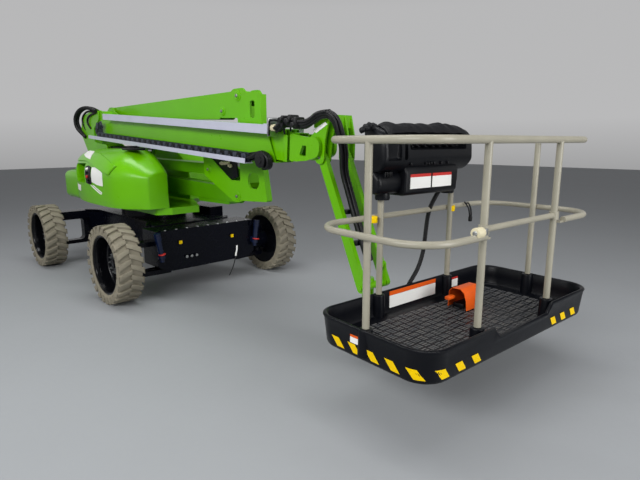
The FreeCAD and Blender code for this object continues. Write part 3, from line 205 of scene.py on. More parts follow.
def make_ageing_group():
    """The group that every finish shares: a colour, a roughness and a normal from a few amounts."""
    tree = bpy.data.node_groups.new("aged surface", "ShaderNodeTree")
    for name, value in GROUP_INPUTS.items():
        kind = "NodeSocketFloat" if isinstance(value, float) else "NodeSocketColor"
        socket = tree.interface.new_socket(name=name, in_out="INPUT", socket_type=kind)
        socket.default_value = value
    for name, kind in GROUP_OUTPUTS.items():
        tree.interface.new_socket(name=name, in_out="OUTPUT", socket_type=kind)
    given = add_node(tree, "NodeGroupInput").outputs
    result = add_node(tree, "NodeGroupOutput")
    where = add_node(tree, "ShaderNodeTexCoord").outputs["Object"]
    normal = add_node(tree, "ShaderNodeNewGeometry").outputs["Normal"]

    # Broad patches darken the colour.
    patches = add_node(tree, "ShaderNodeTexNoise",
                       {"Vector": where, "Scale": given["Patch Scale"], "Detail": 6, "Roughness": 0.62})
    darkest = add_node(tree, "ShaderNodeMath", {0: 1.0, 1: given["Patches"]}, operation="SUBTRACT")
    shade = add_node(tree, "ShaderNodeMapRange", {"Value": patches.outputs["Fac"], "From Min": 0.3, "From Max": 0.7,
                                                  "To Min": 1.0, "To Max": darkest.outputs[0]})
    tinted = add_node(tree, "ShaderNodeVectorMath", {0: given["Colour"], "Scale": shade.outputs["Result"]},
                      operation="SCALE")

    # Dust lies in speckles, mostly on faces that look up.
    facing = add_node(tree, "ShaderNodeSeparateXYZ", {0: normal})
    lies = add_node(tree, "ShaderNodeMapRange", {"Value": facing.outputs["Z"], "From Min": 0.1, "From Max": 1.0,
                                                 "To Min": 0.18, "To Max": 1.0})
    speckle = add_node(tree, "ShaderNodeTexNoise", {"Vector": where, "Scale": 22, "Detail": 8})
    spread = add_node(tree, "ShaderNodeMapRange", {"Value": speckle.outputs["Fac"], "From Min": 0.35, "From Max": 0.75})
    cover = add_node(tree, "ShaderNodeMath", {0: lies.outputs["Result"], 1: spread.outputs["Result"]},
                     operation="MULTIPLY")
    dust = add_node(tree, "ShaderNodeMath", {0: cover.outputs[0], 1: given["Dust"]}, operation="MULTIPLY",
                    use_clamp=True)
    dusty = add_node(tree, "ShaderNodeMix",
                     {"Factor": dust.outputs[0], "A": tinted.outputs[0], "B": given["Dust Colour"]}, data_type="RGBA")

    # Dust and smears dull the gloss, and a fine grain bumps the surface.
    dull = add_node(tree, "ShaderNodeMath", {0: dust.outputs[0], 1: 0.5, 2: given["Gloss"]}, operation="MULTIPLY_ADD")
    smear = add_node(tree, "ShaderNodeMath", {0: speckle.outputs["Fac"], 1: 0.12, 2: dull.outputs[0]},
                     operation="MULTIPLY_ADD", use_clamp=True)
    grain = add_node(tree, "ShaderNodeTexNoise", {"Vector": where, "Scale": given["Grain Scale"], "Detail": 3})
    bump = add_node(tree, "ShaderNodeBump", {"Height": grain.outputs["Fac"], "Strength": given["Grain Depth"],
                                             "Distance": 0.002})
    feed(tree, result, {"Colour": dusty.outputs["Result"], "Roughness": smear.outputs[0],
                        "Normal": bump.outputs["Normal"]})
    return tree


ageing = make_ageing_group()
print("group inputs:", [s.name for s in ageing.interface.items_tree if s.in_out == "INPUT"])

# %% [markdown]
# A colour read from a screen has to be made linear before a shader can use it. The finishes differ
# in gloss more than in hue: chassis and rims wear a wet black, the covers and booms a bright green
# enamel, the rails a satin powder coat, and the trays and the console a dull moulded plastic.

# %% Finishes


def screen_colour(red, green, blue):
    """A colour as a screen shows it, 0 to 255, as the shader's linear colour."""
    linear = [((v / 255 + 0.055) / 1.055) ** 2.4 if v > 10 else v / 255 / 12.92 for v in (red, green, blue)]
    return (*linear, 1.0)


def finish(name, colour, gloss, dust=0.12, patches=0.10, patch_scale=3.0, grain=(300.0, 0.05), metal=0.0, coat=0.0,
           dust_colour=(150, 145, 135), shine=0.5):
    """A material that takes its colour, roughness and bump from the ageing group."""
    material = bpy.data.materials.new(name)
    material.use_nodes = True
    tree = material.node_tree
    amounts = {"Colour": screen_colour(*colour), "Dust Colour": screen_colour(*dust_colour), "Dust": dust,
               "Patches": patches, "Patch Scale": patch_scale, "Gloss": gloss, "Grain Scale": grain[0],
               "Grain Depth": grain[1]}
    aged = add_node(tree, "ShaderNodeGroup", amounts, node_tree=ageing).outputs
    feed(tree, tree.nodes["Principled BSDF"],
         {"Base Color": aged["Colour"], "Roughness": aged["Roughness"], "Normal": aged["Normal"], "Metallic": metal,
          "Specular IOR Level": shine, "Coat Weight": coat, "Coat Roughness": 0.06})
    return material


green_paint = finish("green enamel", (100, 176, 0), 0.24, dust=0.0, patches=0.08, grain=(420, 0.02), coat=0.15,
                     shine=0.3)
# The arms and links deep in the riser wear the same green enamel as the rest; this darker copy of it is painted shade
# for the shadow that falls inside the riser.
green_paint_with_painted_shade = finish("green enamel darkened as painted shade", (80, 150, 2), 0.26, dust=0.01, patches=0.16,
                          grain=(420, 0.02), coat=0.2, shine=0.35)
chassis_paint = finish("black chassis enamel", (5, 7, 17), 0.20, dust=0.004, patches=0.15, grain=(260, 0.03),
                       coat=0.05, shine=0.14)
rim_paint = finish("black rim enamel", (7, 8, 13), 0.18, dust=0.01, grain=(260, 0.03), coat=0.10, shine=0.25)
blue_paint = finish("dark blue cylinder enamel", (10, 22, 50), 0.18, dust=0.01, coat=0.15, shine=0.3)
barrel_paint = finish("black cylinder enamel", (16, 16, 20), 0.28, dust=0.04, shine=0.4)
rail_paint = finish("beige powder coat", (154, 150, 134), 0.30, dust=0.04, patches=0.12, patch_scale=6,
                    grain=(900, 0.06))
tray_paint = finish("pale tray paint", (186, 188, 204), 0.34, dust=0.04, patches=0.10, patch_scale=5,
                    grain=(600, 0.04))
chrome_steel = finish("hard chrome", (214, 216, 220), 0.08, dust=0.04, patches=0.05, grain=(700, 0.01),
                      metal=1.0)
zinc_steel = finish("zinc plated steel", (176, 178, 178), 0.30, dust=0.10, patches=0.12, metal=1.0)
rubber = finish("tyre rubber", (132, 126, 110), 0.72, dust=0.35, patches=0.22, patch_scale=7, grain=(240, 0.35),
                dust_colour=(150, 140, 120))
sidewall_rubber = finish("tyre sidewall", (138, 131, 113), 0.74, dust=0.3, patches=0.18, patch_scale=6,
                         grain=(240, 0.25), dust_colour=(158, 148, 128))
black_mould = finish("black moulded plastic", (9, 11, 16), 0.32, dust=0.006, patches=0.15, grain=(520, 0.12),
                     shine=0.22)
tray_mould = finish("cage tray plastic", (9, 11, 17), 0.28, dust=0.006, patches=0.2, patch_scale=5,
                    grain=(520, 0.10), shine=0.16)
soft_cover = finish("black soft cover", (7, 8, 14), 0.45, dust=0.01, patches=0.2, patch_scale=8,
                    grain=(700, 0.25), shine=0.25)
chain_mould = finish("chain plastic", (52, 58, 70), 0.40, dust=0.10, patches=0.15, grain=(500, 0.12))
hose_rubber = finish("hose rubber", (11, 12, 15), 0.42, dust=0.03, grain=(900, 0.12), shine=0.35)
white_label = finish("blank white label", (236, 236, 232), 0.32, dust=0.06, patches=0.05)
cream_plastic = finish("cream plastic", (214, 205, 172), 0.4, dust=0.08)
yellow_paint = finish("yellow marking", (240, 200, 0), 0.42, dust=0.0, patches=0.06, shine=0.1)
orange_paint = finish("orange guard paint", (226, 92, 22), 0.36, dust=0.01, patches=0.10, shine=0.2)
red_mark = finish("red marking", (196, 40, 34), 0.34, dust=0.06)
# The grip bars belong to the same black moulding as the tray; their grey colour is a painted reflection of the floor's
# sheen, and the dust speckled over it is real.
grip_plastic_with_painted_reflection = finish("floor grip plastic with painted reflection", (66, 68, 72), 0.5, dust=0.35, patches=0.2, grain=(520, 0.22))
floor_paint = finish("plain floor", (154, 157, 160), 0.55, dust=0.0, patches=0.03, patch_scale=0.8,
                     grain=(60, 0.02))
floor.data.materials.append(floor_paint)

# The lower arm and both links take the darker green, which is painted shade.
NODE_FINISH = {
    "tyre_": rubber, "rim_": rim_paint, "knuckle_": chassis_paint, "chassis_frame": chassis_paint,
    "front_axle": chassis_paint, "rear_axle": chassis_paint, "lockout_": blue_paint, "steer_rod": chrome_steel,
    "turret_base": green_paint, "counterweight": green_paint, "canopy_": green_paint, "lower_arm": green_paint_with_painted_shade,
    "lower_link": green_paint_with_painted_shade, "front_knuckle": green_paint, "upper_arm": green_paint,
    "upper_link": green_paint_with_painted_shade, "rear_knuckle": green_paint, "riser_barrel": barrel_paint,
    "riser_rod": chrome_steel, "boom_barrel": barrel_paint, "boom_rod": chrome_steel, "boom_": green_paint,
    "lower_tray": tray_paint, "upper_tray": tray_paint, "energy_chain": chain_mould, "jib_": green_paint,
    "cage_carrier": green_paint, "cage_mount": barrel_paint, "cage_tray": black_mould, "cage_rails": rail_paint,
    "gate_bar": rail_paint, "console": black_mould,
}
for node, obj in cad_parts.items():
    chosen = next(material for start, material in NODE_FINISH.items() if node.startswith(start))
    obj.data.materials.clear()
    obj.data.materials.append(chosen)
print("finishes:", len(bpy.data.materials))

# %% [markdown]
# Small helpers come first. Each new piece is built in a bmesh, in metres and already in its place,
# and becomes one object with its finishes and its body. A hard piece shades
# smooth over gentle angles and stays crisp over sharp ones.

# %% Making a piece
MERGE_WITHIN = 0.00002


def make_piece(name, bm, finishes, body, smooth=35, replaces=(), merge=True):
    """Turn a bmesh into a finished object that rides on a body, or on none when no body is given."""
    if merge:
        bmesh.ops.remove_doubles(bm, verts=bm.verts, dist=MERGE_WITHIN)
    bmesh.ops.recalc_face_normals(bm, faces=bm.faces)
    mesh = bpy.data.meshes.new(name)
    bm.to_mesh(mesh)
    bm.free()
    for material in finishes:
        mesh.materials.append(material)
    mesh.shade_smooth()
    mesh.set_sharp_from_angle(angle=radians(smooth))
    piece = bpy.data.objects.new(name, mesh)
    bpy.context.scene.collection.objects.link(piece)
    if body:
        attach(piece, body)
    if replaces:
        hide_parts(*replaces)
    return piece


def round_edges(bm, edges, offset, segments=2):
    """Bevel edges with a round profile."""
    bmesh.ops.bevel(bm, geom=edges, offset=offset, affect="EDGES", segments=segments, profile=0.5, material=-1)


def edges_of(faces):
    """Every edge of a few faces, once."""
    return list({edge for face in faces for edge in face.edges})


def faces_at(verts, index=0):
    """The faces that meet at a few vertices, given a finish by its number."""
    faces = list({face for vert in verts for face in vert.link_faces})
    for face in faces:
        face.material_index = index
    return faces


def pull_faces(bm, faces):
    """Extrude faces; returns everything new, and the new vertices by themselves."""
    made = bmesh.ops.extrude_face_region(bm, geom=faces)["geom"]
    return made, [g for g in made if isinstance(g, bmesh.types.BMVert)]


def add_box(bm, low, high, to_scene=place, bevel=0.0, segments=2, index=0):
    """A box between two corners of the drawing, with its edges rounded by bevel metres."""
    made = bmesh.ops.create_cube(bm, size=1.0)["verts"]
    for vert in made:
        at = [low[i] if vert.co[i] < 0 else high[i] for i in range(3)]
        vert.co = to_scene(*at)
    faces = faces_at(made, index)
    if bevel:
        round_edges(bm, edges_of(faces), bevel, segments)


def add_rod(bm, start, end, radius, sides=24, bevel=0.0, index=0):
    """A round bar between two points of the scene; a few sides make a bolt head."""
    run = end - start
    turn = run.to_track_quat("Z", "Y").to_matrix().to_4x4()
    middle = Matrix.Translation((start + end) / 2) @ turn
    made = bmesh.ops.create_cone(bm, cap_ends=True, segments=sides, radius1=radius, radius2=radius,
                                 depth=run.length, matrix=middle)["verts"]
    faces = faces_at(made, index)
    if bevel:
        rims = [edge for edge in edges_of(faces) if any(len(face.verts) > 4 for face in edge.link_faces)]
        round_edges(bm, rims, bevel)


def add_turned(bm, centre, axis, rows, steps=48):
    """Spin a profile about an axis; each row is a place along the axis and a radius."""
    axis = Vector(axis).normalized()
    out = axis.orthogonal().normalized()
    ring = [bm.verts.new(centre + axis * along + out * radius) for along, radius in rows]
    edges = [bm.edges.new(pair) for pair in zip(ring, ring[1:])]
    bmesh.ops.spin(bm, geom=ring + edges, cent=centre, axis=axis, angle=2 * pi, steps=steps, use_merge=True)


print("helpers ready")

# %% [markdown]
# The tyres are solid cushions of pale, dusty rubber with broad slanting lugs. The lugs of the two
# shoulders are set half a pitch apart and climb towards the middle of the tread, so that they stand
# out as scallops along both shoulders. One lug is drawn flat, as an outline across the tread, pulled
# up to its height and rounded. Bending it round the wheel turns its length into an angle. The
# carcass under it is one spun profile.

# %% Tyres
TRACK_HALF = 0.998
TYRE_R, TYRE_HALF, LUG_DEPTH, RIM_LIP = 0.405, 0.129, 0.022, 0.305
TREAD_ROOT = TYRE_R - LUG_DEPTH
LUGS = 24
PITCH = 2 * pi * TYRE_R / LUGS
LUG_ACROSS = ((0.0, -0.1295), (0.060, -0.1295), (0.094, -0.060), (0.116, 0.006), (0.070, 0.006), (0.040, -0.060))
LUG_FOOT, LUG_TAPER, LUG_EDGE = -0.012, 0.955, 0.005
SHOULDER_FROM, SHOULDER_LEAN = 0.11, 0.004
SIDEWALL_FROM = 0.117
CARCASS = [(-0.111, RIM_LIP), (-0.118, RIM_LIP + 0.004), (-0.1215, RIM_LIP + 0.014), (-0.1235, RIM_LIP + 0.03),
           (-0.1235, TREAD_ROOT - 0.05), (-0.1225, TREAD_ROOT - 0.026), (-0.118, TREAD_ROOT - 0.008),
           (-0.108, TREAD_ROOT - 0.001), (-0.06, TREAD_ROOT)]
CARCASS += [(-along, radius) for along, radius in reversed(CARCASS)]
CORNERS = ("front_left", "front_right", "rear_left", "rear_right")


def bend_to_wheel(flat, wheel):
    """Flat tread coordinates (length round the tread, across it, height) round a wheel's centre."""
    angle = flat.x / TYRE_R
    radius = TREAD_ROOT + flat.z
    return wheel + Vector((radius * cos(angle), flat.y, radius * sin(angle)))


def add_lugs(bm, wheel, side, start):
    """All the lugs of one shoulder."""
    for number in range(LUGS):
        shift = (number + start) * PITCH
        base = bm.faces.new([bm.verts.new((x + shift, y * side, LUG_FOOT)) for x, y in LUG_ACROSS])
        made, top = pull_faces(bm, [base])
        for vert in top:
            vert.co.z = LUG_DEPTH
            vert.co.y *= LUG_TAPER
            if abs(vert.co.y) > SHOULDER_FROM:
                vert.co.x += SHOULDER_LEAN
        crown = next(g for g in made if isinstance(g, bmesh.types.BMFace))
        round_edges(bm, list(crown.edges), LUG_EDGE)
    for vert in bm.verts:
        vert.co = bend_to_wheel(vert.co, wheel)


def add_sidewall_roots(bm, wheel, side, start):
    """The foot of each lug that runs down the sidewall."""
    for number in range(LUGS):
        middle = ((number + start) * PITCH + 0.031) / TYRE_R
        made = bmesh.ops.create_cube(bm, size=1.0)["verts"]
        for vert in made:
            deep = vert.co.z < 0
            radius = TYRE_R - 0.070 if deep else TYRE_R - 0.008
            angle = middle + vert.co.x * (0.030 if deep else 0.058) / TYRE_R
            across = 0.1225 if vert.co.y < 0 else (0.1255 if deep else 0.1295)
            vert.co = wheel + Vector((radius * cos(angle), side * across, radius * sin(angle)))
        edges = list({edge for vert in made for face in vert.link_faces for edge in face.edges})
        round_edges(bm, edges, 0.004, 1)


def middle_of(node):
    """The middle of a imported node's box."""
    low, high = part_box(node)
    return (Vector(low) + Vector(high)) / 2


def make_tyre(corner):
    """One tyre: the spun carcass, then the lugs and their feet on both shoulders."""
    wheel = middle_of("tyre_" + corner)
    bm = bmesh.new()
    add_turned(bm, wheel, (0, 1, 0), CARCASS, steps=96)
    for face in bm.faces:
        face.material_index = int(abs(face.calc_center_median().y - wheel.y) > SIDEWALL_FROM)
    for side, start in ((1, 0.0), (-1, 0.5)):
        lug_bm = bmesh.new()
        add_lugs(lug_bm, wheel, side, start)
        lug_mesh = bpy.data.meshes.new("lugs")
        lug_bm.to_mesh(lug_mesh)
        lug_bm.free()
        bm.from_mesh(lug_mesh)
        bpy.data.meshes.remove(lug_mesh)
        add_sidewall_roots(bm, wheel, -side, start)
    return make_piece("lugged_tyre_" + corner, bm, [rubber, sidewall_rubber], "wheel_" + corner,
                      smooth=30, replaces=["tyre_" + corner])


for corner in CORNERS:
    tyre = make_tyre(corner)
print("faces in a tyre:", len(tyre.data.polygons))

# %% [markdown]
# Each rim is a deep black dish. Its face carries a ring of wheel nuts round the hub, a stepped hub
# cap, and two rolled beads near the lip that catch the light as thin bright lines.

# %% Rims, hubs and wheel nuts
HUB_FACE = TRACK_HALF - TYRE_HALF + 0.128
HUB_CAP = [(-0.004, 0.074), (0.010, 0.074), (0.014, 0.070), (0.016, 0.046), (0.030, 0.043), (0.033, 0.038),
           (0.033, 0.0001)]
NUTS, NUT_RING = 10, 0.096
BEADS = ((-0.012, 0.2895), (-0.050, 0.2855))


def make_hub(corner):
    """The hub cap, the ring of studs with their nuts, and the beads of one rim."""
    centre = middle_of("rim_" + corner)
    side = 1 if "left" in corner else -1
    hub = Vector((centre.x, side * HUB_FACE, centre.z))
    out = Vector((0, side, 0))
    bm = bmesh.new()
    add_turned(bm, hub, out, HUB_CAP, steps=40)
    for number in range(NUTS):
        angle = 2 * pi * number / NUTS
        at = hub + Vector((cos(angle), 0, sin(angle))) * NUT_RING
        add_rod(bm, at - out * 0.002, at + out * 0.004, 0.0165, sides=20, bevel=0.001, index=1)
        add_rod(bm, at + out * 0.003, at + out * 0.018, 0.0125, sides=6, bevel=0.0015, index=1)
        add_rod(bm, at + out * 0.017, at + out * 0.030, 0.006, sides=12, bevel=0.001, index=1)
    for along, radius in BEADS:
        lip = Vector((centre.x, side * (TRACK_HALF + TYRE_HALF - 0.020) + side * along, centre.z))
        bead = [(-0.006, radius + 0.004), (-0.004, radius - 0.003), (0.0, radius - 0.005), (0.004, radius - 0.003),
                (0.006, radius + 0.004)]
        add_turned(bm, lip, out, bead, steps=64)
    return make_piece("wheel_hub_" + corner, bm, [rim_paint, zinc_steel], "wheel_" + corner, smooth=40)


for corner in CORNERS:
    hub = make_hub(corner)
print("hubs made; faces in one:", len(hub.data.polygons))

# %% [markdown]
# The turret carries two moulded covers, one on each side of the riser. Each is one smooth shell: a
# tall side wall that rolls over into a domed roof, a rounded tail and a sloping front. The shape
# changes slowly along its length, so it is drawn as a row of cross sections that are bridged into a
# skin. Two small tables say how high the roof and how wide the wall is at each place.

# %% Covers
ROOF = ((-1220, 1262), (-1150, 1330), (-1000, 1420), (-850, 1478), (-600, 1522), (-300, 1546), (0, 1553),
        (500, 1556), (800, 1554), (920, 1540), (1000, 1508), (1100, 1446), (1180, 1392), (1235, 1352), (1262, 1318))
WALL = ((-1220, 520), (-1100, 562), (-900, 618), (-760, 664), (-600, 724), (-480, 764), (-360, 799), (-200, 840),
        (0, 868), (200, 886), (400, 893), (750, 893), (880, 884), (980, 853), (1080, 797), (1160, 745), (1215, 705),
        (1245, 680), (1262, 655))
TABLE_END = 1262
COVER_FOOT, SHOULDER, FOOT_TURNS_IN = 942.0, 1258.0, 1060
ROLL_MOST, ROLL_LESS = 390.0, 450
OVER_STEPS = 13
WALL_HEIGHTS = (SHOULDER, 1200, 1140, 1060, 1020, 980, COVER_FOOT)
STATIONS = (-1220, -1195, -1150, -1090, -1000, -900, -800, -700, -600, -480, -360, -240, -120, 0, 120)
RIGHT_STATIONS = STATIONS + (240, 360, 480, 600, 700, 800, 870, 930, 990, 1050, 1110, 1160, 1205, 1240, 1262)
LEFT_STATIONS = STATIONS + (200, 290, 350, 410, 470, 530, 580, 630, 670, 700)
COVER_SMOOTH = 42


def read_table(table, x):
    """The value of a table at x, in a straight line between its rows."""
    if x <= table[0][0]:
        return table[0][1]
    for (x0, v0), (x1, v1) in zip(table, table[1:]):
        if x <= x1:
            return v0 + (v1 - v0) * (x - x0) / (x1 - x0)
    return table[-1][1]


def smooth_table(table, x):
    """The table's value averaged over a short stretch, so that its rows leave no creases."""
    if not table[0][0] + 60 < x < table[-1][0] - 60:
        return read_table(table, x)
    return sum(read_table(table, x + step) for step in (-60, -30, 0, 30, 60)) / 5


def wall_out(x, z, shift=0.0):
    """How far out the cover's skin is at a place along the cover and a height."""
    roof, wall = smooth_table(ROOF, x + shift), smooth_table(WALL, x + shift)
    rise = min(max((z - SHOULDER) / (roof - SHOULDER), 0.0), 1.0)
    roll = min(ROLL_MOST, wall - ROLL_LESS)
    return wall - roll * (1 - (1 - rise * rise) ** 0.5) - 14 * max((FOOT_TURNS_IN - z) / 120, 0.0) ** 2


def cover_section(x, inner, side, shift):
    """One closed cross section, from the inner wall's foot over the roof to the outer wall's foot."""
    roof = smooth_table(ROOF, x + shift)
    inside = [(inner, COVER_FOOT), (inner, 1100), (inner, roof - 36), (inner + side * 10, roof - 12),
              (inner + side * 34, roof - 2)]
    over = [SHOULDER + (roof - SHOULDER) * cos(pi / 2 * step / OVER_STEPS) for step in range(1, OVER_STEPS)]
    outside = [(side * wall_out(x, z, shift), z) for z in (*over, *WALL_HEIGHTS)]
    return [place(x, y, z) for y, z in inside + outside]


def bridge_rows(bm, rows, closed=True):
    """Join a list of rows of points by faces; closed rows are rings."""
    rings = []
    for row in rows:
        verts = [bm.verts.new(at) for at in row]
        following = verts[1:] + verts[:1] if closed else verts[1:]
        rings.append([bm.edges.new(pair) for pair in zip(verts, following)])
    for first, second in zip(rings, rings[1:]):
        bmesh.ops.bridge_loops(bm, edges=first + second)
    return rings


def make_cover(name, side, inner, stations, node):
    """One cover. The tables are for the longer one, so the shorter one reads them shifted."""
    bm = bmesh.new()
    shorter = TABLE_END - stations[-1]
    shifts = [min(max((x + 100) / 400, 0), 1) * shorter for x in stations]
    rings = bridge_rows(bm, [cover_section(x, inner, side, shift) for x, shift in zip(stations, shifts)])
    ends = rings[0] + rings[-1]
    for ring in (rings[0], rings[-1]):
        bmesh.ops.contextual_create(bm, geom=ring)
    round_edges(bm, [edge for edge in ends if edge.is_valid and min(v.co.z for v in edge.verts) > 0.95], 0.012, 3)
    return make_piece(name, bm, [green_paint], "turret", smooth=COVER_SMOOTH, replaces=[node])


def carve(piece, cutter_bm):
    """Cut a second shape out of a finished piece with Blender's Boolean, and keep the result as its mesh."""
    bmesh.ops.recalc_face_normals(cutter_bm, faces=cutter_bm.faces)
    mesh = bpy.data.meshes.new("cutter")
    cutter_bm.to_mesh(mesh)
    cutter_bm.free()
    cutter = bpy.data.objects.new("cutter", mesh)
    bpy.context.scene.collection.objects.link(cutter)
    tool = piece.modifiers.new("cut", "BOOLEAN")
    tool.object = cutter
    tool.operation = "DIFFERENCE"
    tool.solver = "EXACT"
    bpy.context.view_layer.update()
    cut = bpy.data.meshes.new_from_object(piece.evaluated_get(bpy.context.evaluated_depsgraph_get()))
    piece.modifiers.clear()
    piece.data = cut
    bpy.data.objects.remove(cutter)
    cut.shade_smooth()
    cut.set_sharp_from_angle(angle=radians(COVER_SMOOTH))


cover_right = make_cover("cover_right_shell", -1, -435, RIGHT_STATIONS, "canopy_right")
cover_left = make_cover("cover_left_shell", 1, 135, LEFT_STATIONS, "canopy_left")
print("faces in the covers:", len(cover_right.data.polygons), len(cover_left.data.polygons))

# %% [markdown]
# The right cover has the ground controls in a deep pocket near its tail. The pocket is a rounded
# outline pulled inwards, which is cut out of the shell. A raised band arches over it like an
# eyebrow. It follows the shell, so it is a sheet laid on the skin, lifted a little, and thickened.

# %% Pocket and raised band
POCKET = ((-560, 1376, 30), (108, 1396, 34), (148, 1162, 60), (-380, 1156, 50))
POCKET_OUTSIDE, POCKET_BACK = -960, -0.600
BAND_LOW = ((-610, 1392), (-330, 1400), (-100, 1408), (120, 1404), (335, 1378), (525, 1344), (680, 1316), (845, 1290))
BAND_HIGH = ((-640, 1440), (-420, 1490), (-180, 1512), (50, 1508), (270, 1494), (475, 1470), (700, 1436), (925, 1380))
BAND_LIFT = 17


def rounded_outline(bm, rows, y, arc=6):
    """A closed outline in the x-z plane whose corners are rounded by their own radius; returns the face."""
    points = [Vector((x, z)) for x, z, _ in rows]
    verts = []
    for number, (_, _, radius) in enumerate(rows):
        here, before, after = points[number], points[number - 1], points[(number + 1) % len(rows)]
        first, last = here - (here - before).normalized() * radius, here + (after - here).normalized() * radius
        for step in range(arc + 1):
            t = step / arc
            at = first * (1 - t) ** 2 + here * 2 * t * (1 - t) + last * t ** 2
            verts.append(bm.verts.new(place(at.x, y, at.y)))
    return bm.faces.new(verts)


pocket_bm = bmesh.new()
_, back = pull_faces(pocket_bm, [rounded_outline(pocket_bm, POCKET, POCKET_OUTSIDE)])
for vert in back:
    vert.co = Vector((vert.co.x * 0.94 - 0.115, POCKET_BACK, vert.co.z * 0.90 + 0.12))
carve(cover_right, pocket_bm)


def curve_at(curve, t):
    """A point along a list of (x, z) at the share t of its rows, rounded between the rows."""
    along = t * (len(curve) - 1)
    number = min(int(along), len(curve) - 2)
    part = along - number
    p = [Vector(curve[min(max(number + k, 0), len(curve) - 1)]) for k in (-1, 0, 1, 2)]
    return 0.5 * (2 * p[1] + (p[2] - p[0]) * part + (2 * p[0] - 5 * p[1] + 4 * p[2] - p[3]) * part ** 2
                  + (3 * p[1] - p[0] - 3 * p[2] + p[3]) * part ** 3)


def lay_on_cover(bm, low_curve, high_curve, lift, along=24, across=7):
    """A sheet on the right cover between two curves of (x, z), lifted off the skin by lift millimetres."""
    rows = []
    for step in range(along + 1):
        low, high = curve_at(low_curve, step / along), curve_at(high_curve, step / along)
        row = []
        for part in range(across + 1):
            at = low.lerp(high, part / across)
            lean = min(max((at.y - SHOULDER) / 300, 0.0), 1.0)
            row.append(place(at.x, -wall_out(at.x, at.y) - lift * (1 - lean * 0.6), at.y + lift * lean))
        rows.append(row)
    bridge_rows(bm, rows, closed=False)


def thicken_inwards(bm):
    """Close a sheet on the cover by pulling a copy of it through the skin, and soften its rim."""
    rim = [edge for edge in bm.edges if edge.is_boundary]
    _, pulled = pull_faces(bm, bm.faces[:])
    bmesh.ops.translate(bm, verts=pulled, vec=(0, 0.034, -0.022))
    round_edges(bm, [edge for edge in rim if edge.is_valid], 0.006, 3)


band_bm = bmesh.new()
lay_on_cover(band_bm, BAND_LOW, BAND_HIGH, BAND_LIFT, along=40, across=8)
thicken_inwards(band_bm)
make_piece("cover_right_band", band_bm, [green_paint], "turret", smooth=35)
print("band made over the pocket")

# %% [markdown]
# Beside the pocket are blank white labels. They lie flat on the skin, so they use the same sheet as
# the band, lifted by about a millimetre. Two thin white pointer lines run down from the control
# strip, and a small blank plate sits under the pocket.

# %% Blank labels
LABEL_LIFT = 1.5
LABELS = ((((372, 1190), (540, 1166), (690, 1160)), ((366, 1350), (518, 1350), (693, 1299)), LABEL_LIFT, 10),
          (((-330, 1064), (-100, 1056)), ((-350, 1136), (-80, 1130)), LABEL_LIFT, 6),
          (((-278, 1465), (0, 1440), (226, 1424)), ((-380, 1506), (-170, 1508), (55, 1503)), 18.6, 10),
          (((330, 1150), (560, 1078), (640, 1070)), ((345, 1160), (575, 1092), (645, 1076)), LABEL_LIFT, 8, 1),
          (((400, 1152), (600, 1092), (650, 1080)), ((415, 1160), (612, 1104), (660, 1088)), LABEL_LIFT, 8, 1))


def make_sheets(name, sheets, material):
    """One piece made of several sheets on the right cover."""
    bm = bmesh.new()
    for sheet in sheets:
        lay_on_cover(bm, *sheet)
    make_piece(name, bm, [material], "turret", merge=False)


make_sheets("cover_right_blank_labels", LABELS, white_label)
print("blank labels:", len(LABELS))

# %% [markdown]
# A black control strip with a few switches stands beside the pocket. Inside the pocket sit a box
# with a row of buttons and a narrow cover beside it.

# %% Ground controls
STRIP_LOW, STRIP_HIGH = ((215, 1172), (330, 1166), (372, 1186)), ((165, 1350), (250, 1366), (345, 1352))
STRIP_SWITCHES = ((262, 1330, 0.016, 1), (268, 1290, 0.013, 0), (280, 1246, 0.017, 2), (300, 1208, 0.013, 0),
                  (318, 1184, 0.011, 0))
control_bm = bmesh.new()
lay_on_cover(control_bm, STRIP_LOW, STRIP_HIGH, 12, along=12, across=6)
thicken_inwards(control_bm)
for x, z, size, index in STRIP_SWITCHES:
    out = -wall_out(x, z) - 10
    add_rod(control_bm, place(x, out + 4, z), place(x, out - 18, z), size, sides=20, bevel=0.002, index=index)
make_piece("ground_control_strip", control_bm, [black_mould, white_label, red_mark], "turret",
           smooth=40)

inside_bm = bmesh.new()
add_box(inside_bm, (-330, -655, 1168), (-60, -628, 1300), bevel=0.004)
add_box(inside_bm, (-20, -700, 1166), (30, -628, 1330), bevel=0.005)
for at in range(-290, -109, 60):
    add_rod(inside_bm, place(at, -650, 1262), place(at, -668, 1262), 0.010, sides=16, bevel=0.002)
make_piece("ground_control_box", inside_bm, [black_mould], "turret", smooth=40)
print("ground controls made")

# %% [markdown]
# Thin dark parting lines run down the front of the right cover. The tail of the turret is one heavy
# casting, painted like the covers. It has full, soft edges, which is a box with a large bevel, and a
# slot for the riser is cut out of it. A low black pad lies on the right cover's roof.

# %% Seams, tail and pad
SEAMS = ((((850, 1288), (870, 1312), (930, 1380)), ((856, 1286), (876, 1311), (936, 1378)), 1.0, 8, 1),
         (((700, 1314), (800, 1290), (900, 1262)), ((702, 1310), (802, 1287), (902, 1260)), 0.8, 6, 1))
make_sheets("cover_right_seams", SEAMS, black_mould)

tail_bm = bmesh.new()
add_box(tail_bm, (-1398, -634, 872), (-770, 634, 1242), bevel=0.078, segments=7)
tail = make_piece("tail_casting", tail_bm, [green_paint], "turret", smooth=50, replaces=["counterweight"])
slot_bm = bmesh.new()
add_box(slot_bm, (-880, -186, 800), (-700, 76, 1400))
carve(tail, slot_bm)

pad_bm = bmesh.new()
add_box(pad_bm, (760, -690, 1540), (1060, -560, 1566), bevel=0.008)
add_box(pad_bm, (830, -660, 1560), (960, -600, 1588), bevel=0.006)
make_piece("cover_right_rest_pad", pad_bm, [black_mould], "turret", smooth=40)
print("tail and pad made")

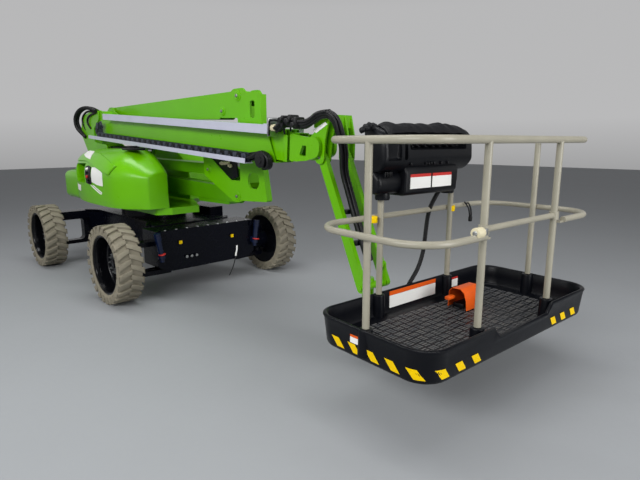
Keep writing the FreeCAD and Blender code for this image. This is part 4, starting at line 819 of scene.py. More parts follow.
# %% [markdown]
# The cage's floor is one large plastic moulding. It has a wall with a rolled rim all round, a foot
# that is a little smaller than the rim, a lowered step under the gate and a round boss for each
# post. It starts as one flat face with its corners bevelled, which is pulled up in stages like the
# moulding itself: foot, wall, rim, and then down again on the inside.

# %% The moulded tray
CAGE_BACK, CAGE_DEPTH, CAGE_MID_Y, CAGE_HALF = 4015.0, 900.0, 53.0, 946.0
CAGE_FRONT, CAGE_MID_X = CAGE_BACK + CAGE_DEPTH, CAGE_BACK + CAGE_DEPTH / 2
TRAY_LOW, TRAY_FLOOR = 400.0, 436.0
FOOT_INSET, FOOT_CORNER = 32, 145.0
TRAY_STAGES = ((6, 8), (14, 5), (70, 6), (14, 1), (68, 7), (12, 5), (8, -1), (4, -5), (2, -7), (-3, -7), (-7, -5),
               (-70, -4), (-60, -3), (-16, -8), (-6, -14))
STEP_HALF, STEP_DEEP, STEP_ABOVE = 348.0, 62, 505
POSTS = ((4051, CAGE_MID_Y - 388), (4051, CAGE_MID_Y + 388), (4836, CAGE_MID_Y - 410), (4836, CAGE_MID_Y + 410),
         (4443.5, CAGE_MID_Y - 910), (4443.5, CAGE_MID_Y + 910))
BOSS_TALL = 158


def pull(bm, face, up, grow):
    """Extrude a level face by up millimetres and widen its outline by grow millimetres."""
    made, _ = pull_faces(bm, [face])
    if any(len(edge.link_faces) > 2 for edge in face.edges):
        bmesh.ops.delete(bm, geom=[face], context="FACES_ONLY")
    new_face = next(g for g in made if isinstance(g, bmesh.types.BMFace))
    centre = new_face.calc_center_median()
    spread = [max(abs(v.co[i] - centre[i]) for v in new_face.verts) for i in (0, 1)]
    for vert in new_face.verts:
        vert.co.x = centre.x + (vert.co.x - centre.x) * (1 + grow / spread[0])
        vert.co.y = centre.y + (vert.co.y - centre.y) * (1 + grow / spread[1])
        vert.co.z += up
    return new_face


tray_bm = bmesh.new()
bmesh.ops.create_grid(tray_bm, x_segments=1, y_segments=1, size=1.0)
for vert in tray_bm.verts:
    vert.co = Vector((CAGE_MID_X + vert.co.x * (CAGE_DEPTH / 2 - FOOT_INSET),
                      CAGE_MID_Y + vert.co.y * (CAGE_HALF - FOOT_INSET), TRAY_LOW))
bmesh.ops.bevel(tray_bm, geom=tray_bm.verts[:], offset=FOOT_CORNER, affect="VERTICES", segments=14, profile=0.5,
                material=-1)
skin = max(tray_bm.faces, key=lambda face: face.calc_area())
for up, grow in TRAY_STAGES:
    skin = pull(tray_bm, skin, up, grow)

step_right, step_left = CAGE_MID_Y - STEP_HALF, CAGE_MID_Y + STEP_HALF
for cut in (step_right, step_right + 20, step_right + 62, step_left - 62, step_left - 20, step_left):
    bmesh.ops.bisect_plane(tray_bm, geom=tray_bm.verts[:] + tray_bm.edges[:] + tray_bm.faces[:],
                           plane_co=(0, cut, 0), plane_no=(0, 1, 0))
for vert in tray_bm.verts:
    if vert.co.x > CAGE_FRONT - 80 and vert.co.z > STEP_ABOVE:
        into = min(vert.co.y - step_right, step_left - vert.co.y)
        vert.co.z -= STEP_DEEP * min(max(into / 62, 0), 1) * min((vert.co.z - STEP_ABOVE) / 60, 1)
for x, y in POSTS:
    middle = Matrix.Translation((x, y, TRAY_FLOOR + BOSS_TALL / 2))
    boss = bmesh.ops.create_cone(tray_bm, cap_ends=True, segments=28, radius1=46, radius2=41, depth=BOSS_TALL,
                                 matrix=middle)["verts"]
    edges = {edge for vert in boss for edge in vert.link_edges}
    round_edges(tray_bm, [e for e in edges if all(v.co.z > TRAY_FLOOR + 150 for v in e.verts)], 5, 3)
for vert in tray_bm.verts:
    vert.co = in_cage(*vert.co)
tray = make_piece("cage_tray_moulding", tray_bm, [tray_mould], "cage", smooth=40,
                  replaces=["cage_tray"])
print("tray faces:", len(tray.data.polygons))

# %% [markdown]
# The floor is moulded with small raised bars for grip. They stand in square groups that alternate
# in direction, with a plain seam between the groups. Each bar is a plain box that rises a little
# out of the floor. The bars are grey where the tray is black: a painted reflection, with real dust on it.

# %% Grip bars on the floor
CELL, CELL_BARS = 66.0, (-21, 0, 21)
BAR_HALF_LONG, BAR_HALF_WIDE, BAR_PROUD, BAR_DEEP = 23, 6.5, 1.5, 6
grip_bm = bmesh.new()
columns, rows = int(CAGE_DEPTH - 190) // int(CELL), int(2 * CAGE_HALF - 190) // int(CELL)
for column in range(columns):
    for row in range(rows):
        middle_x, middle_y = CAGE_MID_X + (column + 0.5 - columns / 2) * CELL, CAGE_MID_Y + (row + 0.5 - rows / 2) * CELL
        along_x = (column + row) % 2
        for offset in CELL_BARS:
            half_x, half_y = (BAR_HALF_LONG, BAR_HALF_WIDE) if along_x else (BAR_HALF_WIDE, BAR_HALF_LONG)
            x, y = middle_x + (0 if along_x else offset), middle_y + (offset if along_x else 0)
            add_box(grip_bm, (x - half_x, y - half_y, TRAY_FLOOR - BAR_DEEP),
                    (x + half_x, y + half_y, TRAY_FLOOR + BAR_PROUD), in_cage)
make_piece("cage_floor_grip", grip_bm, [grip_plastic_with_painted_reflection], "cage", merge=False)
print("grip bars:", columns * rows * len(CELL_BARS))

# %% [markdown]
# Yellow stripes run round the foot of the tray. Each is a thin slanting sticker. On the straight
# walls a stripe is a flat plate; at the corner it bends, so its outline is drawn along the wall's
# length and then wrapped on the rounded corner.

# %% Hazard stripes
FOOT_IN = 19.0            # the foot's wall stands this far inside the rim where the stripes begin
RIGHT_Y = CAGE_MID_Y - CAGE_HALF + FOOT_IN
LEFT_Y = CAGE_MID_Y + CAGE_HALF - 24
FRONT_X = CAGE_FRONT - FOOT_IN
STRIPE_LOW, STRIPE_HIGH = 428.0, 486.0
STRIPE_WIDE, STRIPE_SLANT, STRIPE_BEND, STRIPE_LIFT = 62.0, 46.0, 149.0, 1.2
CORNER_FROM = FRONT_X - STRIPE_BEND
RIGHT_STRIPES, LEFT_STRIPES = (4183, 4320, 4462, 4610, 4755, 4905), (4183, 4320, 4462, 4610)
FRONT_STRIPES = (-654, -506, 400, 537, 684)


def on_wall(length, height):
    """A point on the tray's outside: length runs along the right wall, round the corner, then along the front."""
    lean = (height - 420) * 6 / 70 + 2 * STRIPE_LIFT
    if length < CORNER_FROM:
        return in_cage(length, RIGHT_Y - lean, height)
    turned = (length - CORNER_FROM) / STRIPE_BEND
    if turned < pi / 2:
        reach = STRIPE_BEND + lean
        return in_cage(CORNER_FROM + reach * sin(turned), RIGHT_Y + STRIPE_BEND - reach * cos(turned), height)
    return in_cage(FRONT_X + lean, RIGHT_Y + STRIPE_BEND + (turned - pi / 2) * STRIPE_BEND, height)


def add_stripe(bm, length):
    """One slanting stripe, as a row of short quads along the wall."""
    pieces = 6
    steps = [length + STRIPE_WIDE * step / pieces for step in range(pieces + 1)]
    bridge_rows(bm, [[on_wall(at + STRIPE_SLANT, STRIPE_LOW) for at in steps],
                     [on_wall(at, STRIPE_HIGH) for at in steps]], closed=False)


stripe_bm = bmesh.new()
front_start = CORNER_FROM + STRIPE_BEND * pi / 2 - (RIGHT_Y + STRIPE_BEND)
for length in (*RIGHT_STRIPES, *(front_start + across for across in FRONT_STRIPES)):
    add_stripe(stripe_bm, length)
make_piece("hazard_stripes_right", stripe_bm, [yellow_paint], "cage", smooth=60, merge=False)
left_bm = bmesh.new()
for length in LEFT_STRIPES:
    low, high = (length + STRIPE_SLANT, LEFT_Y + 7, STRIPE_LOW), (length, LEFT_Y + 12, STRIPE_HIGH)
    corners = [in_cage(x + shift, y, z)
               for (x, y, z), shift in ((low, 0), (low, STRIPE_WIDE), (high, STRIPE_WIDE), (high, 0))]
    left_bm.faces.new([left_bm.verts.new(at) for at in corners])
make_piece("hazard_stripes_left", left_bm, [yellow_paint], "cage", merge=False)
print("stripes placed from", round(CORNER_FROM), "mm")

# %% [markdown]
# The control housing hangs on the cage's back rail. It is moulded in two halves: a hood with a
# hollow under its lip, where the hands go, and a squarer box below it. A moulded block is drawn as
# its side outline, pulled out along the rail, and then all its long edges get a wide bevel. The
# hollow is cut out of it afterwards.

# %% Control housing
HOUSING_END, HOUSING_SHARE = -425.0, 0.91
HOOD = ((4003, 1452), (4060, 1420), (4150, 1436), (4206, 1500), (4200, 1606), (4176, 1690), (4100, 1728), (4003, 1722))
HOLLOW = ((4120, 1592), (4230, 1570), (4230, 1668), (4120, 1650))
GROOVE = ((4170, 1520), (4230, 1500), (4230, 1640), (4182, 1652))
PANEL = ((4023, 1276), (4164, 1276), (4186, 1296), (4190, 1430), (4176, 1470), (4023, 1480))
RIGHT_BOX = ((4028, 1300), (4120, 1290), (4150, 1330), (4150, 1400), (4100, 1452), (4028, 1470))
LEFT_BOX = ((4028, 1330), (4120, 1310), (4150, 1340), (4150, 1470), (4028, 1490))
SOCKET = ((0.0, 0.0001), (0.0, 0.046), (0.012, 0.050), (0.05, 0.046), (0.10, 0.038), (0.21, 0.034), (0.30, 0.034),
          (0.30, 0.0001))
SWITCHES = ((-200, 14), (-30, 10), (0, 10), (30, 10), (62, 12), (150, 16), (230, 12))
LEVERS = (-130, -60, 20, 110, 190, 280, 360)


def in_console(x, y, z):
    """Housing coordinates: lengths along it are drawn in towards its right end, which stays put."""
    return in_cage(x, HOUSING_END + (y - HOUSING_END) * HOUSING_SHARE, z)


def add_moulding(bm, rows, y_low, y_high, bevel, segments=5, to_scene=in_console):
    """A block with an outline in x and z, from y_low to y_high, with every edge rounded."""
    low = [bm.verts.new(to_scene(x, y_low, z)) for x, z in rows]
    _, top = pull_faces(bm, [bm.faces.new(low)])
    bmesh.ops.translate(bm, verts=top, vec=to_scene(0, y_high, 0) - to_scene(0, y_low, 0))
    verts = {*low, *top}
    round_edges(bm, edges_of([face for face in bm.faces if set(face.verts) <= verts]), bevel, segments)


def carve_moulding(piece, rows, y_low, y_high, bevel):
    """Cut a rounded block out of a piece."""
    bm = bmesh.new()
    add_moulding(bm, rows, y_low, y_high, bevel)
    carve(piece, bm)


housing_bm = bmesh.new()
add_moulding(housing_bm, HOOD, -474, 570, 0.034)
housing = make_piece("control_housing_hood", housing_bm, [black_mould], "cage", smooth=45,
                     replaces=["console"])
carve_moulding(housing, HOLLOW, -210, 470, 0.012)
carve_moulding(housing, GROOVE, -440, -300, 0.014)
carve_moulding(housing, GROOVE, -270, -235, 0.014)

panel_bm = bmesh.new()
add_moulding(panel_bm, PANEL, -232, 388, 0.013, segments=3)
add_moulding(panel_bm, RIGHT_BOX, -470, -190, 0.03)
add_moulding(panel_bm, LEFT_BOX, 360, 470, 0.03)
for y in (-335, 441):
    add_turned(panel_bm, in_console(4071, y, 1252), (0, 0, 1), SOCKET, steps=28)
for y in range(-414, -349, 16):
    add_box(panel_bm, (4140, y, 1404), (4160, y + 7, 1440), in_console, bevel=0.003)
make_piece("control_housing_panel", panel_bm, [black_mould], "cage", smooth=40)

switch_bm = bmesh.new()
for y, wide in SWITCHES:
    add_box(switch_bm, (4182, y, 1476), (4206, y + wide, 1494), in_console, bevel=0.003)
for y in LEVERS:
    add_rod(switch_bm, in_console(4125, y, 1600), in_console(4160, y, 1604), 0.013, sides=16, bevel=0.002)
    add_rod(switch_bm, in_console(4158, y, 1604), in_console(4190, y, 1612), 0.006, sides=12, bevel=0.001)
make_piece("control_switches", switch_bm, [soft_cover], "cage", smooth=40)
print("control housing made, with", len(SWITCHES) + len(LEVERS), "switches")

# %% [markdown]
# The plates on the housing stay blank. Two of them are white fields under a red strip, and a small
# one lies inside the hollow.

# %% Blank plates on the housing
PLATE_X = 4186
plate_bm = bmesh.new()
for y_low, y_high in ((-206, 6), (24, 238)):
    add_box(plate_bm, (PLATE_X, y_low, 1322), (PLATE_X + 5.6, y_high, 1398), in_cage)
    add_box(plate_bm, (PLATE_X, y_low, 1398), (PLATE_X + 5.8, y_high, 1418), in_cage, index=1)
add_box(plate_bm, (4119, -196, 1612), (4124, -110, 1648), in_cage)
make_piece("control_housing_blank_plates", plate_bm, [white_label, red_mark], "cage", merge=False)
print("blank plates made")

# %% [markdown]
# A black cloth cover is rolled back over the housing. It is one sheet that follows the hood's top
# and drops at both ends, with soft folds that run from the lumps under it. The sheet is a grid that
# is laid over the hood, given its folds by a sum of slow waves, and then thickened to 3 mm.

# %% Cloth cover
CLOTH_FROM, CLOTH_TO, CLOTH_BACK, CLOTH_FRONT, CLOTH_TOP = -440.0, 530.0, 3994.0, 4200.0, 1746
CLOTH_LONG, CLOTH_THICK = 0.97, 0.003
LUMPS = ((14, 210, 42), (12, 330, 36), (8, -330, 60))
GATHERS = ((-520, 1712, 0.026), (-490, 1726, 0.022), (-560, 1700, 0.020), (-455, 1716, 0.028))
cloth_bm = bmesh.new()
bmesh.ops.create_grid(cloth_bm, x_segments=24, y_segments=72, size=1.0)
for vert in cloth_bm.verts:
    across, along = vert.co.x, vert.co.y
    y = (CLOTH_FROM + CLOTH_TO) / 2 + along * (CLOTH_TO - CLOTH_FROM) / 2
    x = (CLOTH_BACK + CLOTH_FRONT) / 2 + across * (CLOTH_FRONT - CLOTH_BACK) / 2
    crown = CLOTH_TOP - 64 * max(across, 0) ** 2.4 - 22 * max(-across, 0) ** 2.4 - 20 * abs(along) ** 6
    folds = 4.0 * sin(y / 31 + across * 1.7) + 3.0 * sin(y / 17 - across * 2.6 + 1.0) + 2.2 * sin(x / 23 + y / 60)
    lumps = sum(tall * max(0, 1 - abs(y - middle) / half) for tall, middle, half in LUMPS)
    vert.co = in_console(x, y, crown + folds * (1 - across ** 2 * 0.5) + lumps * (1 - across ** 2))
for _ in range(3):
    bmesh.ops.smooth_vert(cloth_bm, verts=cloth_bm.verts[:], factor=0.5, use_axis_x=True, use_axis_y=True,
                          use_axis_z=True)
cloth_area = sum(face.calc_area() for face in cloth_bm.faces)
bmesh.ops.solidify(cloth_bm, geom=cloth_bm.faces[:], thickness=CLOTH_THICK)
cloth = make_piece("control_cloth_cover", cloth_bm, [soft_cover], "cage", smooth=60)
side_bm = bmesh.new()
for y, z, size in GATHERS:
    gather = bmesh.ops.create_icosphere(side_bm, subdivisions=3, radius=size,
                                        matrix=Matrix.Translation(in_console(4080, y, z)))["verts"]
    for vert in gather:
        vert.co.z += 0.004 * sin(vert.co.x * 160) * sin(vert.co.y * 140)
make_piece("control_cover_gathers", side_bm, [soft_cover], "cage", smooth=60)
print("cloth cover area:", round(cloth_area, 3), "m2")

# %% [markdown]
# An energy chain carries the hoses along the boom. Its links show as a row of dark side plates that
# overlap like scales, over a pale tray. One link is a plate with rounded ends and a hub; the others
# stand one pitch further along, and the last ones turn round the rear bend.

# %% Energy chain
CHAIN_PITCH, CHAIN_LOW, CHAIN_TALL, BEND_R = 62.0, -165.7, 80.0, 118.0
CHAIN_FROM, CHAIN_TO, CHAIN_OUT, CHAIN_IN = 240.0, 3330.0, -488.0, -420.3
CHAIN_STRAIGHT, CHAIN_BEND = CHAIN_TO - CHAIN_FROM, BEND_R - CHAIN_TALL / 2
RUN_LENGTH = CHAIN_STRAIGHT + pi * CHAIN_BEND
LINK_OUTLINE = ((0.10, 8), (0.0, 26), (0.0, 54), (0.10, 72), (0.5, 78), (0.95, 74), (1.12, 54), (1.12, 26),
                (0.95, 6), (0.5, 2))
LINK_THICK, LINK_PROUD, HUB_AT, HUB_PROUD = 6, 3.0, 0.55, 3
CHAIN_HOSES, HOSE_STEPS = ((14, 0.011), (40, 0.014), (62, 0.009)), 60


def chain_point(length, depth):
    """A point on the chain's side: length runs back along the straight and then round the bend."""
    if length <= CHAIN_STRAIGHT:
        return CHAIN_TO - length, CHAIN_LOW + depth
    turned = min((length - CHAIN_STRAIGHT) / CHAIN_BEND, pi)
    reach = BEND_R - depth
    return CHAIN_FROM - reach * sin(turned), CHAIN_LOW + BEND_R - reach * cos(turned)


def on_chain(length, depth, y):
    """The same point as a point of the scene."""
    along, up = chain_point(length, depth)
    return on_boom(along, y, up)


def add_link(bm, start, y_face, index):
    """One side plate of a link, with a hub near its middle."""
    low = [bm.verts.new(on_chain(start + share * CHAIN_PITCH, depth, y_face)) for share, depth in LINK_OUTLINE]
    face = bm.faces.new(low)
    face.material_index = index
    _, top = pull_faces(bm, [face])
    bmesh.ops.translate(bm, verts=top, vec=(0, LINK_THICK / 1000, 0))
    hub = start + HUB_AT * CHAIN_PITCH
    outside = y_face - LINK_THICK
    add_rod(bm, on_chain(hub, 40, outside), on_chain(hub, 40, outside - HUB_PROUD), 0.013, sides=14)


chain_bm = bmesh.new()
for number in range(int(RUN_LENGTH / CHAIN_PITCH)):
    start = number * CHAIN_PITCH
    proud = LINK_PROUD if number % 2 else 0.0
    add_link(chain_bm, start, CHAIN_OUT - proud + 4, number % 2)
    add_link(chain_bm, start, CHAIN_IN - 6, number % 2)
    for depth in (3, 77):
        for along in (10, 34):
            ends = [on_chain(start + along, depth, y) for y in (CHAIN_OUT + 4, CHAIN_IN - 4)]
            add_rod(chain_bm, *ends, 0.004, sides=8)
for depth, radius in CHAIN_HOSES:
    path = [on_chain(step * RUN_LENGTH / HOSE_STEPS, depth + 6, -455) for step in range(HOSE_STEPS + 1)]
    for first, second in zip(path, path[1:]):
        add_rod(chain_bm, first, second, radius, sides=8)
chain = make_piece("energy_chain_links", chain_bm, [chain_mould, black_mould], "boom_outer",
                   smooth=30, replaces=["energy_chain"], merge=False)
print("chain links:", number + 1, "faces:", len(chain.data.polygons))

# %% [markdown]
# Hoses are round, soft and never quite straight. Each is a NURBS curve through a few given
# points, thickened by its own bevel and then made a mesh. A corrugated sleeve is the same path with
# rings of two sizes along it.

# %% Hoses
RIDGE_PITCH, RIDGE_SIDES, GROOVE_SHARE = 0.012, 14, 0.84


def nurbs_path(points, thick=0.0, fine=10):
    """The mesh of a NURBS curve through a few points, round if thick is given and a bare line if not."""
    data = bpy.data.curves.new("hose run", "CURVE")
    data.dimensions = "3D"
    data.resolution_u = fine
    data.bevel_depth = thick
    data.bevel_resolution = 4
    data.use_fill_caps = thick > 0
    spline = data.splines.new("NURBS")
    spline.points.add(len(points) - 1)
    for row, at in zip(spline.points, points):
        row.co = (*at, 1.0)
    spline.order_u = 3
    spline.use_endpoint_u = True
    run = bpy.data.objects.new("hose run", data)
    mesh = bpy.data.meshes.new_from_object(run)
    bpy.data.objects.remove(run)
    return mesh


def add_hose(bm, rows, radius, to_scene=place, index=0):
    """A plain round hose along a NURBS path; its points are rows of the drawing."""
    first = len(bm.faces)
    mesh = nurbs_path([to_scene(*row) for row in rows], thick=radius)
    bm.from_mesh(mesh)
    bpy.data.meshes.remove(mesh)
    bm.faces.ensure_lookup_table()
    for face in bm.faces[first:]:
        face.material_index = index


def add_corrugated(bm, rows, radius, to_scene=place):
    """A corrugated sleeve: rings of two sizes along a NURBS path."""
    mesh = nurbs_path([to_scene(*row) for row in rows], fine=24)
    line = [vert.co.copy() for vert in mesh.vertices]
    bpy.data.meshes.remove(mesh)
    turns = [2 * pi * side / RIDGE_SIDES for side in range(RIDGE_SIDES)]
    circle = [Vector((cos(turn), sin(turn), 0)) for turn in turns]
    rings, travelled = [], 0.0
    for first, second in zip(line, line[1:]):
        step = (second - first).length
        across = (second - first).to_track_quat("Z", "Y").to_matrix().to_4x4()
        while travelled <= step:
            at = first.lerp(second, travelled / step)
            wide = radius * (1.0 if len(rings) % 4 in (0, 1) else GROOVE_SHARE)
            rings.append([at + across @ (point * wide) for point in circle])
            travelled += RIDGE_PITCH / 4
        travelled -= step
    edges = bridge_rows(bm, rings)
    for ring in (edges[0], edges[-1]):
        bmesh.ops.contextual_create(bm, geom=ring)


loop_bm = bmesh.new()
for shift, size in ((0, 0.024), (34, 0.020)):
    add_corrugated(loop_bm, ((-560, -430 + shift, 2012), (-700, -440 + shift, 2058), (-930, -452 + shift, 2072),
                             (-1150, -455 + shift, 2030), (-1290, -452 + shift, 1930), (-1262, -445 + shift, 1820),
                             (-1130, -436 + shift, 1748), (-1010, -420 + shift, 1690)), size)
add_hose(loop_bm, ((-620, -400, 1985), (-820, -410, 2040), (-1040, -420, 1990), (-1120, -418, 1880),
                   (-1030, -400, 1780)), 0.013)
add_hose(loop_bm, ((-600, -420, 1990), (-700, -425, 1990), (-880, -430, 1940), (-900, -425, 1850),
                   (-820, -410, 1800)), 0.012)
make_piece("rear_hose_loop", loop_bm, [hose_rubber], "rear_knuckle", smooth=60, merge=False)
print("rear hose loop made")

# %% [markdown]
# At the front of the boom the chain's tray ends in a black roller with a bundle of hoses. Above it
# the upper tray ends in a grey bracket and a round black guard hoop, where cables and hoses fan out.
# The hoop, the bracket and the gland travel with the inner section, so they ride on it.

# %% Tray ends, roller and guard
ROLLER = ((-0.03, 0.0001), (-0.03, 0.046), (-0.026, 0.062), (0.026, 0.062), (0.03, 0.046), (0.03, 0.0001))
ROLLER_CAP = ((-0.004, 0.0001), (-0.004, 0.030), (0.006, 0.034), (0.006, 0.0001))
GUARD_OUT, GUARD_IN = -496, -400
roller_bm = bmesh.new()
centre = on_boom(3520, -462, -128)
add_turned(roller_bm, centre, (0, 1, 0), ROLLER, steps=36)
add_turned(roller_bm, centre - Vector((0, 0.034, 0)), (0, 1, 0), ROLLER_CAP, steps=24)
add_box(roller_bm, (3300, -436, -150), (3560, -424, -96), on_boom, bevel=0.004)
for shift, size in ((-14, 0.013), (6, 0.012), (24, 0.010)):
    add_hose(roller_bm, ((3300, -455 + shift, -120 + shift), (3400, -460 + shift, -108 + shift),
                         (3500, -462 + shift, -58), (3590, -458 + shift, -88), (3606, -450 + shift, -150),
                         (3570, -440 + shift, -196), (3500, -420 + shift, -200)), size, on_boom)
make_piece("chain_end_roller", roller_bm, [hose_rubber], "boom_outer", smooth=45, merge=False)

guard_bm = bmesh.new()
add_hose(guard_bm, ((3648, GUARD_OUT, 70), (3648, GUARD_OUT, 168), (3652, GUARD_OUT, 186), (3760, GUARD_OUT, 190),
                    (3790, -490, 182), (3796, -470, 120), (3790, -460, 90)), 0.007, on_boom)
add_hose(guard_bm, ((3648, GUARD_IN, 100), (3648, GUARD_IN, 168), (3652, GUARD_IN, 186), (3760, GUARD_IN, 190),
                    (3790, -402, 182), (3792, -404, 110)), 0.007, on_boom)
for along in (3656, 3774):
    add_rod(guard_bm, on_boom(along, GUARD_OUT, 188), on_boom(along, GUARD_IN, 188), 0.006, sides=12)
make_piece("cable_guard_hoop", guard_bm, [black_mould], "boom_inner", smooth=50, merge=False)

bracket_bm = bmesh.new()
add_box(bracket_bm, (3628, -502, 64), (3648, -406, 206), on_boom, bevel=0.004)
make_piece("tray_end_bracket", bracket_bm, [zinc_steel], "boom_inner", smooth=35)
gland_bm = bmesh.new()
add_rod(gland_bm, on_boom(3650, -470, 128), on_boom(3700, -470, 132), 0.026, sides=20, bevel=0.004)
add_rod(gland_bm, on_boom(3700, -470, 132), on_boom(3722, -470, 133), 0.020, sides=6, bevel=0.002)
make_piece("cable_gland", gland_bm, [cream_plastic], "boom_inner", smooth=40)
print("tray ends made")

# %% [markdown]
# The risers' plates carry small hardware that catches the light: a washer and a bolt head on each
# pin's end. The plates of one knuckle share their pins, so each pin has an end on both sides.

# %% Pin ends
RISER_NEAR, TURRET_NEAR, RISER_WIDTH = -170.0, -182, -110
PIN_ENDS = {
    "front_knuckle": ((2139, 1112, RISER_NEAR, 48), (2187, 2044, RISER_NEAR, 50), (1932, 1916, RISER_NEAR, 44),
                      (1641, 1351, RISER_NEAR, 44)),
    "rear_knuckle": ((-700, 2012, RISER_NEAR, 46), (-955, 1884, RISER_NEAR, 44)),
    "turret": ((-750, 1160, TURRET_NEAR, 46), (-1248, 1399, TURRET_NEAR, 46)),
}
PIN_LAYERS = ((0, 5, 1.0, 32, 0), (5, 9, 0.55, 24, 1), (9, 22, 0.34, 6, 1))


def add_pin_end(bm, x, z, y, radius, out=-1):
    """A pin's end: a broad washer, a smaller one, and a bolt head."""
    for near, far, share, sides, index in PIN_LAYERS:
        add_rod(bm, place(x, y + out * near, z), place(x, y + out * far, z), radius * share / 1000, sides=sides,
                bevel=0.0015, index=index)


for body, rows in PIN_ENDS.items():
    pin_bm = bmesh.new()
    for x, z, y, radius in rows:
        add_pin_end(pin_bm, x, z, y, radius)
        add_pin_end(pin_bm, x, z, RISER_WIDTH - y, radius, out=1)
    make_piece("pin_ends_" + body, pin_bm, [green_paint, zinc_steel], body, smooth=35, merge=False)

# %% [markdown]
# A black moulded cover fills the corner between the upper link and the front knuckle, with a row of
# cream fittings in it. The cover is a flat outline, pulled out and rounded.

# %% Riser cover and fittings
RISER_COVER = ((1640, 1500), (2120, 1470), (2140, 1300), (2040, 1262), (1960, 1300))
cover_bm = bmesh.new()
add_moulding(cover_bm, RISER_COVER, -166, -150, 0.004, segments=2, to_scene=place)
make_piece("riser_corner_cover", cover_bm, [black_mould], "front_knuckle", smooth=40)
fitting_bm = bmesh.new()
for x, z in ((1900, 1420), (1950, 1424), (2000, 1428), (2040, 1400)):
    add_rod(fitting_bm, place(x, -166, z), place(x, -190, z), 0.018, sides=16, bevel=0.003)
    add_rod(fitting_bm, place(x, -188, z), place(x, -204, z), 0.012, sides=6, bevel=0.002)
make_piece("riser_fittings", fitting_bm, [cream_plastic], "front_knuckle", smooth=40)
print("riser cover made")

# %% [markdown]
# The hoses to the cage leave the upper tray in a thick black bundle, climb over the levelled
# knuckle, and fall along the jib arms. The bundle crosses the nose pin, where the knuckle turns
# against the boom, so that stretch is left on no body.

# %% Hose bundle over the nose
BUNDLE = ((-22, 0, 15), (0, 16, 15), (22, 2, 16), (-10, -18, 13), (14, -16, 13), (-34, 14, 11))
SLEEVED, SLEEVE = (2, 5), 3
CLAMPS = ((3790, 182, 10), (3868, 190, -6), (3930, 176, -14))
over_bm = bmesh.new()
for number, (side, lift, size) in enumerate(BUNDLE):
    wave = 9 * sin(number * 2.1)
    run = ((3700, -455 + side, 120 + lift + wave), (3770, -452 + side, 172 + lift + wave),
           (3860, -442 + side, 190 + lift), (3960, -430 + side, 160 + lift - wave),
           (4040, -414 + side, 196 + lift + wave), (4110, -402 + side, 246 + lift), (4190, -392 + side, 252 + lift))
    if number in SLEEVED:
        add_corrugated(over_bm, run, (size + SLEEVE) / 1000, on_boom)
    else:
        add_hose(over_bm, run, size / 1000, on_boom)
over = make_piece("hose_bundle_over_nose", over_bm, [hose_rubber], None, smooth=60, merge=False)
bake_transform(over)

clamp_bm = bmesh.new()
for along, up, lean in CLAMPS:
    add_box(clamp_bm, (along - 14, -500, up - 44), (along + 14, -396, up + 44), on_boom, bevel=0.012, segments=3)
    add_rod(clamp_bm, on_boom(along, -500, up + lean), on_boom(along, -520, up + lean), 0.020, sides=20, bevel=0.004)
make_piece("hose_bundle_clamps", clamp_bm, [hose_rubber], "boom_inner", smooth=50, merge=False)
print("hoses over the nose:", len(BUNDLE))

# %% [markdown]
# The same hoses then fall along the jib arms. This stretch crosses the pin between the knuckle and
# the arms, so it is left on no body too. Two clamps hold it to the arms.

# %% Hose bundle down the jib
JIB_TOP, JIB_RUN = (3455, 1511), (400.7, -921.6)


def in_scene(x, y, z):
    """A point that is already in the scene."""
    return Vector((x, y, z))


down_bm = bmesh.new()
for side, lift, size in BUNDLE:
    over_knuckle = ((4170, -394 + side, 252 + lift), (4236 + lift, -384 + side, 236 + lift),
                    (4262 + lift, -356 + side, 130), (4270 + lift, -306 + side, 0))
    down_arms = ((3600 + lift, -250 + side, 1420), (3660 + lift, -240 + side, 1250), (3738 + lift, -244 + side, 1050),
                 (3806 + lift, -240 + side, 880), (3846 + lift, -230 + side, 780))
    run = [on_boom(*row) for row in over_knuckle] + [place(*row) for row in down_arms]
    add_hose(down_bm, run, size / 1000, in_scene)
down = make_piece("hose_bundle_down_jib", down_bm, [hose_rubber], None, smooth=60, merge=False)
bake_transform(down)
arm_clamp_bm = bmesh.new()
for share in (0.42, 0.66):
    x, z = (top + run * share for top, run in zip(JIB_TOP, JIB_RUN))
    add_box(arm_clamp_bm, (x + 10, -300, z - 16), (x + 62, -180, z + 16), bevel=0.004)
make_piece("hose_clamps", arm_clamp_bm, [black_mould], "jib_arms", smooth=40)
print("hose bundles made")

# %% [markdown]
# The nose itself has a collar where the inner section ends, and pins with round bosses. One of the
# pins is flat, because the boom's cheek passes close over it. A small blank plate stands where the
# real machine has its notice.

# %% Nose and jib hardware
NOTICE = ((3390, 1712), (3424, 1690), (3540, 1750), (3520, 1768))
collar_bm = bmesh.new()
add_box(collar_bm, (3700, -394, -126), (3745, -385, 80), on_boom, bevel=0.003)
make_piece("nose_collar", collar_bm, [green_paint], "boom_inner", smooth=35)
jib_pins_bm = bmesh.new()
add_pin_end(jib_pins_bm, 3455, 1651, -156, 30)
add_rod(jib_pins_bm, place(3455, -350, 1511), place(3455, -357, 1511), 0.030, sides=32, bevel=0.001)
add_rod(jib_pins_bm, place(3455, -356, 1511), place(3455, -359, 1511), 0.011, sides=6, bevel=0.001, index=1)
make_piece("pin_ends_jib_knuckle", jib_pins_bm, [green_paint, zinc_steel], "jib_knuckle", smooth=35,
           merge=False)
notice_bm = bmesh.new()
plate = notice_bm.faces.new([notice_bm.verts.new(place(x, -357.5, z)) for x, z in NOTICE])
bmesh.ops.translate(notice_bm, verts=pull_faces(notice_bm, [plate])[1], vec=(0, -0.002, 0))
make_piece("jib_knuckle_blank_plate", notice_bm, [white_label], "jib_knuckle", merge=False)
print("nose hardware made")

# %% [markdown]
# The chassis is plain and very glossy. A row of bright bolt heads runs along the top of its front
# panel, small blank yellow squares mark the lifting places, and the dark blue lock-out cylinders
# carry a red band each. A short earth strap hangs under the panel.

